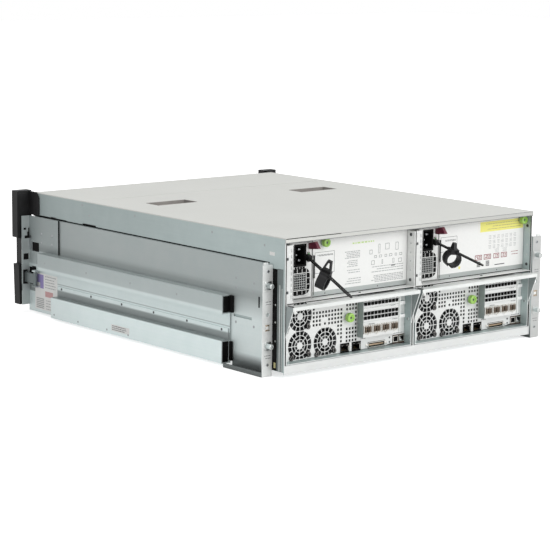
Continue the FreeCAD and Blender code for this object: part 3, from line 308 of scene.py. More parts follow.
# Faces square to X are painted darker: painted shade on the handle's arms.
ZINC_HANDLE = zinc_sheet("zinc_handle_sheet", (0.72, 0.745, 0.73), (0.84, 0.86, 0.84), metallic=0.2,
                         sides=(0.33, 0.37, 0.37))
BLACK = moulded("black_moulding", (0.006, 0.006, 0.0065), lift=1.8, Specular_IOR_Level=0.28)
SOFT_BLACK = moulded("black_nylon", (0.007, 0.007, 0.0075), lift=2.0, roughness=0.42, grain=500,
                     Specular_IOR_Level=0.3)
# Near-black of black mouldings, and painted shade where holes, slots, gaps and hollow ends are drawn dark.
BLACK_AND_SHADE = moulded("black_and_painted_shade", (0.004, 0.004, 0.004), roughness=0.7, Specular_IOR_Level=0.08)
CHARCOAL = moulded("charcoal_moulding", (0.022, 0.023, 0.025), lift=1.5, roughness=0.6)
GRIP_GREY = moulded("grip_grey_moulding", (0.27, 0.255, 0.24), roughness=0.7, grain=700)
LIME = moulded("lime_knob_moulding", (0.30, 0.52, 0.10), roughness=0.3, Coat_Weight=0.3,
               Subsurface_Weight=0.08, Subsurface_Scale=0.004)
MAROON = moulded("maroon_latch_moulding", (0.105, 0.012, 0.028), roughness=0.38)
COLLAR_GREY = plated("collar_grey_metal", (0.42, 0.44, 0.45), 0.35)
# Dark copy of the zinc sheet: painted shade.
ZINC_SHADED = zinc_sheet("zinc_shaded_sheet", (0.16, 0.19, 0.19), (0.21, 0.24, 0.24))
ZINC_FOLD = zinc_sheet("zinc_fold_sheet", (0.39, 0.42, 0.41), (0.45, 0.48, 0.47))
NICKEL = plated("bright_nickel", (0.78, 0.76, 0.71), 0.22)
GOLD = plated("contact_gilt", (0.75, 0.55, 0.25), 0.3)
STEEL = plated("fastener_steel", (0.62, 0.64, 0.63), 0.3)
DARK_STEEL = plated("fastener_dark_steel", (0.12, 0.125, 0.13), 0.4)
BOARD = board_laminate()
CARRIER = zinc_sheet("carrier_grey_coat", (0.11, 0.115, 0.12), (0.155, 0.16, 0.165), metallic=0.1,
                     roughness=0.5)
CAGE = zinc_sheet("cage_sheet", (0.38, 0.4, 0.4), (0.5, 0.52, 0.52))
YELLOW = printed("yellow_paper_label", (0.86, 0.82, 0.22))
WHITE_LABEL = printed("white_paper_label", (0.84, 0.84, 0.82))
INK_DARK = printed("ink_charcoal", (0.06, 0.065, 0.07))
INK_GREY = printed("ink_grey", (0.20, 0.205, 0.21))
INK_FAINT = printed("ink_pale_grey", (0.40, 0.41, 0.41))
INK_RED = printed("ink_dull_red", (0.30, 0.085, 0.09))
INK_GREEN = printed("ink_pale_green", (0.55, 0.72, 0.3))
INK_OLIVE = printed("ink_olive", (0.50, 0.46, 0.22))
WHITE_PLASTIC = moulded("white_moulding", (0.78, 0.79, 0.77), lift=1.05)
CAGE_BROWN = moulded("cage_shadow_brown", (0.045, 0.028, 0.018), lift=1.6)
BRONZE = plated("contact_bronze", (0.50, 0.38, 0.26), 0.35)
TARNISH = plated("spring_tarnish", (0.30, 0.245, 0.19), 0.45)
INK_ROSE = printed("ink_rose", (0.62, 0.36, 0.36))
INK_VIOLET = printed("ink_violet", (0.33, 0.28, 0.55))
LENS_GREEN = lit_lens("indicator_green", (0.08, 0.35, 0.1))
LENS_AMBER = lit_lens("indicator_amber", (0.6, 0.3, 0.04))

CAD_FINISHES = {
    "front_top_cover": COVER, "rear_top_cover": COVER, "chassis_tray": ZINC_SIDE, "bay_frame": ZINC_FACE,
    "drive_cage": CAGE, "midplane": BOARD, "rear_panel": PANEL_FILM, "ear": BLACK, "rail_front": ZINC_RAIL,
    "rail_rear": ZINC_SLIDE, "rail_latch": ZINC_SHADED, "disk_carrier": CARRIER, "panel_thumbscrew": LIME,
    "case": ZINC_SIDE, "faceplate": ZINC_FACE, "brackets": ZINC_FACE, "fans": CHARCOAL, "io": NICKEL,
    "handle": ZINC_HANDLE, "thumbscrew": LIME, "latch": MAROON, "strap": SOFT_BLACK, "clip": SOFT_BLACK,
}


def dress_nodes():
    """Gives every CAD node its finish, by the longest word of its name that is listed."""
    for name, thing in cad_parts.items():
        word = max((w for w in CAD_FINISHES if w in name), key=len)
        finish = SUPPLY_WHITE if name.startswith("psu") and word == "case" else CAD_FINISHES[word]
        finish.dress(thing)


# ---------------------------------------------------------------- mesh making
AXES = {"x": (1, 2, 0), "y": (0, 2, 1), "z": (0, 1, 2)}      # numbers of across, up and along
SMOOTH = 35     # degrees between faces that still shade as one


class Form:
    """A mesh being made, in millimetres from its own origin."""

    def __init__(self, origin=(0, 0, 0)):
        self.mesh = bmesh.new()
        self.origin = Vector(origin)

    def point(self, place):
        return self.mesh.verts.new(self.origin + Vector(place) * MM)

    def prism(self, outline, axis, start, end, edge=0.0):
        """An outline square to an axis, given a thickness, with its edges eased."""
        first, second, along = AXES[axis]
        rings = []
        for height in (start, end):
            ring = []
            for across, up in outline:
                place = [0, 0, 0]
                place[first], place[second], place[along] = across, up, height
                ring.append(self.point(place))
            rings.append(ring)
        low, high = rings
        faces = [self.mesh.faces.new(low[::-1]), self.mesh.faces.new(high)]
        for i in range(len(low)):
            j = (i + 1) % len(low)
            faces.append(self.mesh.faces.new((low[i], low[j], high[j], high[i])))
        if edge:
            edges = list({e for f in faces for e in f.edges})
            bmesh.ops.bevel(self.mesh, geom=edges, offset=edge * MM, segments=2, profile=0.5,
                            affect="EDGES")
        return self

    def block(self, low, high, edge=0.0):
        """A box between two corners, with its edges eased."""
        outline = [(low[0], low[1]), (high[0], low[1]), (high[0], high[1]), (low[0], high[1])]
        return self.prism(outline, "z", low[2], high[2], edge)

    def slab(self, sign, reach, low, high, edge=0.0):
        """A block between two distances outward, +X or -X by the sign, from its (y, z) corners."""
        near, far = sorted(sign * place for place in reach)
        return self.block((near, *low), (far, *high), edge)

    def skin(self, rings):
        """Closed surface through rings that have the same number of points."""
        for low, high in zip(rings, rings[1:]):
            for i in range(len(low)):
                j = (i + 1) % len(low)
                self.mesh.faces.new((low[i], low[j], high[j], high[i]))
        self.mesh.faces.new(rings[0][::-1])
        self.mesh.faces.new(rings[-1])
        return self

    def lathe(self, centre, axis, profile, steps=28, flutes=0, flute_depth=0.0):
        """A turned shape about an axis. Profile pairs are place along it and radius."""
        first, second, along = AXES[axis]
        rings = []
        for height, radius in profile:
            ring = []
            for step in range(steps):
                turn = 2 * math.pi * step / steps
                reach = radius
                if flutes and radius > 1.5 * flute_depth:
                    reach -= flute_depth * (0.5 - 0.5 * math.cos(flutes * turn))
                place = list(centre)
                place[first] += reach * math.cos(turn)
                place[second] += reach * math.sin(turn)
                place[along] += height
                ring.append(self.point(place))
            rings.append(ring)
        return self.skin(rings)

    def wire(self, points, radius, steps=8):
        """A round wire along points."""
        path = [Vector(p) for p in points]
        side = Vector((0, 0, 1))
        rings = []
        for i, place in enumerate(path):
            run = (path[min(i + 1, len(path) - 1)] - path[max(i - 1, 0)]).normalized()
            across = run.cross(side if abs(run.dot(side)) < 0.9 else Vector((1, 0, 0))).normalized()
            up = across.cross(run)
            turns = [2 * math.pi * s / steps for s in range(steps)]
            rings.append([self.point(place + (across * math.cos(a) + up * math.sin(a)) * radius)
                          for a in turns])
        return self.skin(rings)


def placed(name, data, body, finish):
    """An object made from a mesh, with its finish, that rides on a CAD body."""
    thing = bpy.data.objects.new(name, data)
    bpy.context.scene.collection.objects.link(thing)
    finish.dress(thing)
    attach(thing, body)
    return thing


def piece(name, form, body, finish, smooth=SMOOTH):
    """Turns a finished form into an object that rides on a CAD body."""
    bmesh.ops.recalc_face_normals(form.mesh, faces=form.mesh.faces)
    data = bpy.data.meshes.new(name)
    form.mesh.to_mesh(data)
    form.mesh.free()
    data.shade_smooth()
    data.set_sharp_from_angle(angle=math.radians(smooth))
    return placed(name, data, body, finish)


def blocks(name, origin, spans, body, finish, edge=0.0):
    """One piece made of blocks, from pairs of low and high corners."""
    form = Form(origin)
    for low, high in spans:
        form.block(low, high, edge)
    return piece(name, form, body, finish)


def slabs(name, origin, sign, spans, body, finish, edge=0.0):
    """One piece made of slabs, from each one's two distances outward and its (y, z) corners."""
    form = Form(origin)
    for reach, low, high in spans:
        form.slab(sign, reach, low, high, edge)
    return piece(name, form, body, finish)


def corner(node, x, y, z):
    """A point of a CAD node's box: 0 is its lowest side and 1 its highest, along each axis."""
    low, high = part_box(node)
    return Vector(low[i] + (high[i] - low[i]) * share for i, share in enumerate((x, y, z)))


def mirrored(side):
    """+1 on the left, -1 on the right."""
    return 1 if side == "left" else -1


# ---------------------------------------------------------------- outlines, plates and print
def arc(centre, radius, start, end, steps=5):
    """Points along an arc, in degrees."""
    turns = [math.radians(start + (end - start) * i / steps) for i in range(steps + 1)]
    return [(centre[0] + radius * math.cos(a), centre[1] + radius * math.sin(a)) for a in turns]


def disc(centre, radius):
    """A circle of 20 points."""
    return arc(centre, radius, 0, 342, 19)


def rectangle(low, high):
    """The four corners between two opposite ones."""
    return [low, (high[0], low[1]), high, (low[0], high[1])]


def square(centre, width, height=None):
    """A square about its centre, or a rectangle where a height is given."""
    half, rise = width / 2, (height or width) / 2
    return rectangle((centre[0] - half, centre[1] - rise), (centre[0] + half, centre[1] + rise))


def pear(centre, lean, scale=1.0):
    """Hole of a fan grommet: a large round end that runs into a small one, leaning by degrees."""
    turn = math.radians(lean)
    big, small, apart = 3.3 * scale, 2.0 * scale, 4.4 * scale
    loop = arc((0, 0), big, 62, 298, 12) + arc((apart, 0), small, -70, 70, 7)
    return [(centre[0] + x * math.cos(turn) - y * math.sin(turn),
             centre[1] + x * math.sin(turn) + y * math.cos(turn)) for x, y in loop]


def ring_cells(centre, outer, inner, count, web):
    """Cells of one grille ring between round rims, with straight-sided webs of one width."""
    cells = []
    for i in range(count):
        middle = 360 * (i + 0.5) / count
        out_half, in_half = (180 / count - math.degrees(web / 2 / radius) for radius in (outer, inner))
        cells.append(arc(centre, outer, middle - out_half, middle + out_half, 4)
                     + arc(centre, inner, middle + in_half, middle - in_half, 4))
    return cells


def cut_plate(name, origin, loops, depth, body, finish, ease=0.12):
    """Plate square to +Y with its front at the origin, from an outline and the holes in it."""
    curve = bpy.data.curves.new(name, "CURVE")
    curve.dimensions = "2D"
    curve.fill_mode = "BOTH"
    curve.extrude = (depth / 2 - ease) * MM
    curve.bevel_depth = ease * MM
    curve.offset = -ease * MM
    curve.bevel_resolution = 1
    for loop in loops:
        spline = curve.splines.new("POLY")
        spline.points.add(len(loop) - 1)
        for point, (across, up) in zip(spline.points, loop):
            point.co = (across * MM, up * MM, 0, 1)
        spline.use_cyclic_u = True
    holder = bpy.data.objects.new(name, curve)
    data = bpy.data.meshes.new_from_object(holder)
    bpy.data.objects.remove(holder)
    bpy.data.curves.remove(curve)
    data.name = name
    middle = origin - Vector((0, depth / 2 * MM, 0))
    data.transform(Matrix.Translation(middle) @ Matrix.Rotation(math.pi / 2, 4, "X"))
    data.set_sharp_from_angle(angle=math.radians(SMOOTH))
    return placed(name, data, body, finish)


INK = 0.06      # thickness of print and stickers


def marks(name, origin, spans, body, finish, axis="y", way=1, lift=0.0):
    """Flat marks on a face square to x or y: spans are (low across, low up, high across, high up)."""
    form = Form(origin)
    near, far = sorted((way * lift, way * (lift + INK)))
    for low_a, low_b, high_a, high_b in spans:
        if axis == "y":
            form.block((low_a, near, low_b), (high_a, far, high_b))
        else:
            form.block((near, low_a, low_b), (far, high_a, high_b))
    return piece(name, form, body, finish)


def frame_line(low, high, line):
    """Four strips that make the outline of a printed box."""
    (a0, b0), (a1, b1) = low, high
    return [(a0, b0, a1, b0 + line), (a0, b1 - line, a1, b1),
            (a0, b0, a0 + line, b1), (a1 - line, b0, a1, b1)]


def lines_of_print(seed, low, high, rows, height):
    """Rows of short bars that stand for lines of small print."""
    chance = random.Random(seed)
    spans = []
    for row in range(rows):
        base = high[1] - height - (high[1] - low[1] - height) * row / max(rows - 1, 1)
        place, end = low[0], high[0] - chance.uniform(0, 0.25) * (high[0] - low[0])
        while place < end:
            word = min(chance.uniform(1.6, 5.5), end - place)
            spans.append((place, base, place + word, base + height))
            place += word + height * 0.8
    return spans


def print_groups(groups, height):
    """Print in several places, from a seed, two corners and, where there are more than one, the rows."""
    return [span for seed, low, high, *rows in groups
            for span in lines_of_print(seed, low, high, rows[0] if rows else 1, height)]


def tub(form, low, high, wall, axis):
    """A box with thin walls that is open at its high end along an axis."""
    for side in range(3):
        near, far = list(high), list(low)
        near[side], far[side] = low[side] + wall, high[side] - wall
        form.block(low, near)
        if side != axis:
            form.block(far, high)
    return form


def collar(form, centre, outer, inner, near, far):
    """A rectangular rim on a face square to y, from its outer and inner half widths and heights."""
    (x, z), (across, up), (wide, tall) = centre, outer, inner
    for low, high in (((x - across, z + tall), (x + across, z + up)),
                      ((x - across, z - up), (x + across, z - tall)),
                      ((x - across, z - tall), (x - wide, z + tall)),
                      ((x + wide, z - tall), (x + across, z + tall))):
        form.block((low[0], near, low[1]), (high[0], far, high[1]), 0.08)
    return form


def domes(name, origin, places, radius, body, finish, axis="x", way=1, rise=0.7):
    """Low rivet heads or pressed dimples on a face square to an axis."""
    form = Form(origin)
    steps = ((-0.3, 1.0), (0.25 * rise, 1.0), (0.7 * rise, 0.78), (rise, 0.35))
    profile = [(way * height, radius * share) for height, share in steps]
    for place in places:
        form.lathe(place, axis, profile, 16)
    return piece(name, form, body, finish, smooth=60)


# ---------------------------------------------------------------- fasteners
def knob(name, node, body, seat, radius, back):
    """Fluted knob of a captive screw on a face, with its collar and a shank that goes back."""
    low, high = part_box(node)
    middle = Vector(((low[0] + high[0]) / 2, seat, (low[2] + high[2]) / 2))
    profile = [(2.2, radius - 1.0), (2.6, radius - 0.15), (3.2, radius), (7.7, radius), (8.3, radius - 0.25),
               (8.5, radius - 0.8), (8.5, radius - 2.2), (7.6, radius - 2.7), (7.6, 1.9), (6.6, 1.7)]
    head = Form(middle).lathe((0, 0, 0), "y", profile, steps=120, flutes=30, flute_depth=0.35)
    turned = piece(name, head, body, LIME, smooth=50)
    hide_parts(node)
    profile = [(0.15, radius - 1.3), (0.5, radius - 0.7), (2.2, radius - 0.7), (2.6, radius - 1.4)]
    foot = Form(middle).lathe((0, 0, 0), "y", profile, 36)
    piece(f"{name}_collar", foot, body, COLLAR_GREY)
    shank = Form(middle).lathe((0, 0, 0), "y", [(-back, 1.5), (-back + 1, 2.02), (0.4, 2.02)], 20)
    piece(f"{name}_shank", shank, body, STEEL)
    drive = Form(middle).lathe((0, 0, 0), "y", [(6.2, 1.75), (7.0, 1.75), (7.2, 1.5)], 20)
    piece(f"{name}_drive", drive, body, DARK_STEEL)


def knobs():
    """Captive screws of the rear panels and of the controllers."""
    for side in SIDES:
        for name, face, screw, radius, back in (
                ("panel", f"rear_panel_{side}", f"panel_thumbscrew_{side}", 5.6, 5.6),
                ("module", f"controller_{side}_faceplate", f"controller_{side}_thumbscrew", 6.0, 9.0)):
            seat = corner(face, 0, 1, 0)[1]
            knob(f"{name}_knob_{side}", screw, f"{name}_screw_{side}", seat, radius, back)


def screw_heads(name, origin, places, body, axis="x", radius=2.0, finish=DARK_STEEL):
    """Flat screw heads with a cross slot."""
    heads, slots = Form(origin), Form(origin)
    for place in places:
        heads.lathe(place, axis, [(-0.3, radius), (0.5, radius), (0.8, radius * 0.8)], 20)
        across, up, along = AXES[axis]
        for first, second in ((across, up), (up, across)):
            low, high = list(place), list(place)
            low[first] -= radius * 0.6
            high[first] += radius * 0.6
            low[second] -= radius * 0.12
            high[second] += radius * 0.12
            low[along] += 0.5
            high[along] += 0.84
            slots.block(low, high)
    piece(name, heads, body, finish)
    piece(f"{name}_slots", slots, body, BLACK)


# ---------------------------------------------------------------- controllers
FANS = [(179.2, 17.9), (137.2, 17.9), (179.2, 55.2)]     # centres, from the faceplate's low right corner
GRILLE_RINGS = ((19.2, 13.4, 16), (12.6, 8.6, 8), (7.8, 4.6, 8))     # outer and inner radius, cells
GRILLE_WEB = 0.85
GRILLE_SEAM = 36.6          # height between the low and the high grilles
VENT_FIELDS = [
    # first column across, top row up, and the columns with a cell in each row
    (156.6, 61.9, [[0], range(10), range(10), [0, 1, 2, 5, 6, 7, 8, 9], [0, 1, 2, 5, 6, 7, 8, 9],
                   [8, 9], [8, 9], [8, 9], [9], [9]]),
    (100.6, 66.3, [[2, 3], range(4), range(4), [3], [3], [3], [3], range(4), range(4), range(4), range(4)]),
]
VENT_PITCH = 5.15
VENT_CELL = 3.1
PORTS = {  # across, up, width, height, from the faceplate's low right corner
    "jack_outer": (104.0, 5.7, 13.6, 9.6), "jack_inner": (84.2, 5.7, 13.6, 9.6),
    "array": (49.2, 4.7, 29.0, 7.2),
    "link_outer": (15.4, 7.5, 9.4, 8.6), "link_inner": (4.8, 7.5, 9.4, 8.6),
}
PORT_RIM = 1.02         # from a port's cut-out to its dark inside
PIN_PITCH = 1.02
GROMMETS = [  # across, up and lean in degrees
    (193.4, 3.6, 118), (164.6, 5.0, 62), (151.6, 3.6, 118), (122.4, 5.0, 62), (166.2, 41.0, 70),
]


def faceplate(side):
    """Perforated face: round ring grilles, vent fields, ports and grommet holes."""
    body = f"controller_{side}"
    node = f"controller_{side}_faceplate"
    low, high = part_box(node)
    origin = Vector((low[0], high[1], low[2]))
    width, height = ((high[i] - low[i]) / MM for i in (0, 2))
    loops = [rectangle((0, 0), (width, height))]
    for centre in FANS:
        is_low = centre[1] < GRILLE_SEAM
        base, top = (1.0, GRILLE_SEAM - 0.4) if is_low else (GRILLE_SEAM + 0.4, height - 1.0)
        for outer, inner, count in GRILLE_RINGS:
            loops += [[(x, min(max(z, base), top)) for x, z in cell]
                      for cell in ring_cells(centre, outer, inner, count, GRILLE_WEB)]
    for left, top, rows in VENT_FIELDS:
        for row, columns in enumerate(rows):
            up = top - row * VENT_PITCH
            loops += [square((left - column * VENT_PITCH, up), VENT_CELL) for column in columns]
    loops += [square((across, up), wide, tall) for across, up, wide, tall in PORTS.values()]
    loops += [rectangle((21.2, 19.3), (82.2, 71.3)), disc((100.2, 45.9), 2.1), disc((137.7, 41.7), 1.7),
              [(195.8, 43.0), (197.2, 43.8), (201.0, 36.0), (199.6, 35.2)]]
    plate = cut_plate(f"face_{side}", origin, loops, 1.0, body, ZINC_FACE)
    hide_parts(node)
    rubber = Form(origin)
    for across, up, lean in GROMMETS:
        rubber.prism(pear((across, up), lean), "y", -0.6, 1.6, 0.35)
    piece(f"fan_grommets_{side}", rubber, body, SOFT_BLACK)
    front = origin + Vector((0, 1.85 * MM, 0))
    # Grey loops on the black grommets are painted highlights on their rounded rims.
    for i, (across, up, lean) in enumerate(GROMMETS):
        rims = [pear((across, up), lean, scale) for scale in (0.70, 0.54)]
        cut_plate(f"grommet_highlight_{i}_{side}", front, rims, 0.5, body, GRIP_GREY, ease=0.06)
    # Dark sheet behind the vent fields: painted shade seen through the holes.
    blocks(f"vent_shadow_sheet_{side}", origin, [((82.6, -1.6, 12.6), (116.4, -1.2, 71.3)),
                                          ((116.6, -1.6, 37.5), (158.0, -1.2, 71.3))], body, BLACK_AND_SHADE)


def ports(side):
    """Dark insides, contacts, collars and lamps of the ports, and the print around them."""
    body = f"controller_{side}"
    origin = corner(f"controller_{side}_faceplate", 0, 1, 0)
    dark, contacts, tongue, flanges, collars, lamps = (Form(origin) for _ in range(6))
    for name, (across, up, wide, tall) in PORTS.items():
        x, z = wide / 2 - PORT_RIM, tall / 2 - PORT_RIM
        tub(dark, (across - x, -12.9, up - z), (across + x, 0.35, up + z), 0.35, 1)
        if name.startswith("jack"):
            for low, high in ((-x, -2.6), (2.6, x)):
                dark.block((across + low, -4, up + z - 1.6), (across + high, 0.3, up + z))
            for pin in range(8):
                place = across + (pin - 3.5) * PIN_PITCH
                bends = ((-1.2, 0.4), (-5.5, 2.6), (-11, 0.6))
                contacts.wire([(place, y, up - z + lift) for y, lift in bends], 0.16)
        if name == "array":
            tongue.block((across - 12.4, -11, up - 0.9), (across + 12.4, 0.1, up + 0.9), 0.15)
        if name.startswith("link"):
            dark.block((across - x, -9, up - 0.9), (across + x, 0.2, up - 0.3))
            dark.block((across - x, -1.3, up - z), (across + x, -1.1, up + z))
            dark.block((across - 1.4, -3, up + z - 0.9), (across + 1.4, 0.4, up + z + 0.5))
    piece(f"port_insides_{side}", dark, body, BLACK_AND_SHADE)
    piece(f"jack_contacts_{side}", contacts, body, GOLD)
    piece(f"array_tongue_{side}", tongue, body, BRONZE)
    for across in (32.6, 65.8):
        flanges.block((across - 1.8, 0, 2.9), (across + 1.8, 0.9, 6.5), 0.3)
    for across in (104.0, 84.2):
        collar(collars, (across, 6.2), (7.6, 6.1), (5.2, 3.4), 0.1, 0.6)
        collars.block((across - 2.4, 0.1, 8.6), (across + 2.4, 0.75, 10.0), 0.1)
        flanges.block((across - 6.2, 0.5, 2.2), (across - 5.4, 0.95, 8.4), 0.1)
    collar(collars, (49.2, 4.7), (14.9, 3.9), (13.6, 2.6), 0.1, 0.5)
    for across in (15.4, 4.8):
        collar(collars, (across, 7.5), (4.75, 4.35), (3.5, 3.1), 0.1, 0.45)
    piece(f"port_flanges_{side}", flanges, body, NICKEL)
    piece(f"port_collars_{side}", collars, body, BLACK_AND_SHADE)
    blocks(f"link_bezel_{side}", origin,
           [((-0.2, 0.1, 11.6), (20.7, 0.5, 13.0)), ((-0.2, 0.1, 1.4), (20.7, 0.5, 3.4)),
            ((9.6, 0.1, 3.4), (10.6, 0.5, 11.6)), ((19.9, 0.1, 3.4), (20.7, 0.5, 11.6)),
            ((-0.2, 0.1, 3.4), (0.3, 0.5, 11.6))], body, CAGE_BROWN, 0.08)
    for up in (4.6, 10.6):
        lamps.lathe((26.0, 0, up), "y", [(-0.4, 1.25), (0.35, 1.25), (0.7, 0.7)], 16)
    piece(f"link_lamps_{side}", lamps, body, INK_DARK)
    captions = [(5, (18, 15.4), (36, 16.2)), (9, (68, 14.2), (78, 15.0)), (3, (3, 14.6), (20, 15.4))]
    marks(f"face_caption_{side}", origin, print_groups(captions, 0.8), body, INK_GREY)
    marks(f"face_sticker_{side}", origin, [(137.5, 63.6, 157.0, 69.2)], body, WHITE_LABEL)
    marks(f"face_sticker_print_{side}", origin, lines_of_print(21, (139, 64.4), (156, 68.6), 3, 0.8), body,
          INK_OLIVE, lift=INK)
    corners = [(192.0, 64.0, 206.0, 69.0), (170.0, 66.0, 176.0, 69.4)]
    marks(f"face_sticker_corner_{side}", origin, corners, body, WHITE_LABEL)


def card_slots(side):
    """Transceiver cages with their spring fingers, card edges and captions in the raised slot box."""
    body = f"controller_{side}"
    origin = corner(f"controller_{side}_brackets", 0, 1, 0)
    insides, fingers, gilt, bars = (Form(origin) for _ in range(4))
    for port in range(4):
        across = 54.5 - port * 15.4
        tub(insides, (across - 6.25, -40.9, 5.65), (across + 6.25, -0.9, 14.75), 0.2, 1)
        for step in range(4):
            up = step * 2.1
            for place in (across - 5.2, across + 5.2):
                gilt.block((place - 0.45, -8, 6.2 + up), (place + 0.45, 0.5, 7.6 + up), 0.15)
            place = across - 4.2 + step * 2.8
            fingers.block((place - 0.55, -6, 13.6), (place + 0.55, 0.9, 15.9), 0.15)
            fingers.block((place - 0.55, -6, 4.5), (place + 0.55, 0.9, 6.8), 0.15)
        gilt.block((across - 3.9, -9, 9.6), (across + 3.9, -1.5, 10.6), 0.1)
        for place, wide in ((-3.4, 0.45), (-0.9, 0.35), (3.0, 0.5)):
            bars.block((across + place - wide, -1.4, 5.7), (across + place + wide, 0.3, 14.7), 0.12)
        fingers.block((across + 6.6, -4, 4.6), (across + 7.9, 0.6, 15.8), 0.15)
        fingers.block((across - 1.0, 0.2, 3.2), (across + 1.0, 0.8, 4.6), 0.1)
    piece(f"cage_insides_{side}", insides, body, CAGE_BROWN)
    piece(f"cage_springs_{side}", fingers, body, NICKEL)
    piece(f"cage_gilt_{side}", gilt, body, TARNISH)
    piece(f"cage_bars_{side}", bars, body, TARNISH)
    # A dark sheet behind the blank and dark squares on its face: painted shade of its vent holes.
    blocks(f"blank_shadow_sheet_{side}", origin, [((1.2, -3.4, 20.3), (61.8, -3.0, 53))], body, BLACK_AND_SHADE)
    cells = [(59.4 - 6.06 * column - 2.3, up - 2.2, 59.4 - 6.06 * column + 2.3, up + 2.2)
             for column in range(10) for up in (25.4, 31.1, 43.6, 49.3)]
    marks(f"blank_cell_shadows_{side}", origin, cells, body, BLACK_AND_SHADE)
    edges = Form(origin)
    for up in (19.6, 37.8):
        edges.block((0, -0.9, up), (63, 0.35, up + 0.55), 0.1)
    for up in (20.2, 37.2):
        edges.block((-3.4, -2.2, up), (0.2, -1.0, up + 3.4), 0.2)
    edges.block((-1.2, -6, 0.2), (0.4, 0.6, 53.8), 0.25)
    piece(f"card_edges_{side}", edges, body, ZINC_BRIGHT)
    # The slot box's side wall takes the dark zinc copy: painted shade.
    wall = [((63.0, -10.9, -0.1), (63.5, 0.05, 54.1))]
    blocks(f"slot_box_wall_{side}", origin, wall, body, ZINC_BOX_SHADE, 0.15)
    captions = [(31, (8, 37.2), (16, 38.0)), (32, (4, 19.0), (13, 19.8)), (33, (44, 16.8), (56, 17.6))]
    marks(f"card_captions_{side}", origin, print_groups(captions, 0.8), body, INK_GREY, lift=0.35)
    blocks(f"card_latches_{side}", corner(f"controller_{side}_case", 0, 1, 0),
           [((9.0, -12, up), (19.5, -2.6, up + 4.6)) for up in (38.0, 55.2)], body, ZINC_SIDE, 0.4)


def fan_faces(side):
    """Hubs and stator struts seen through the grilles."""
    body = f"controller_{side}"
    origin = corner(f"controller_{side}_faceplate", 0, 1, 0)
    hubs, struts = Form(origin), Form(origin)
    profile = [(-2.6, 5.6), (-1.9, 5.9), (-1.6, 5.4), (-1.6, 2.0), (-1.5, 0.6)]
    for across, up in FANS:
        hubs.lathe((across, 0, up), "y", profile)
        for turn in (45, 135, 225, 315):
            a = math.radians(turn)
            ends = [(across + r * math.cos(a), -1.9, up + r * math.sin(a)) for r in (5.2, 19.0)]
            struts.wire(ends, 0.55, 6)
    piece(f"fan_hubs_{side}", hubs, body, CHARCOAL)
    piece(f"fan_struts_{side}", struts, body, CHARCOAL)


def handle_fittings(side):
    """Pivot rivets at the arms, and the stop, hook and ribs of the handle's bar."""
    body = f"handle_{side}"
    low, high = (corner(f"controller_{side}_handle", share, 1, 1) for share in (0, 1))
    for name, origin, way in (("right", low, -1), ("left", high, 1)):
        domes(f"handle_pivot_{name}_{side}", origin, [(0, -20.0, -40.4)], 3.2, body, STEEL, way=way,
              rise=0.5)
    profile = [(-1.6, 1.6), (-0.2, 2.4), (0.9, 2.0), (1.5, 0.9)]
    stops = Form(high).lathe((-3.4, 0.0, -6.2), "y", profile, 20)
    piece(f"handle_stop_{side}", stops, body, WHITE_PLASTIC)
    hook = [((-2.6, -11.2, -0.2), (-0.6, -1.0, 1.3)), ((-2.6, -2.6, -4.6), (-0.6, -1.0, 1.3))]
    blocks(f"handle_hook_{side}", high, hook, body, DARK_STEEL, 0.3)
    ribs = [((across, -12.4, 0), (across + 0.9, -1.0, 0.5)) for across in (30, 186)]
    blocks(f"handle_ribs_{side}", low, ribs, body, ZINC_BRIGHT, 0.15)


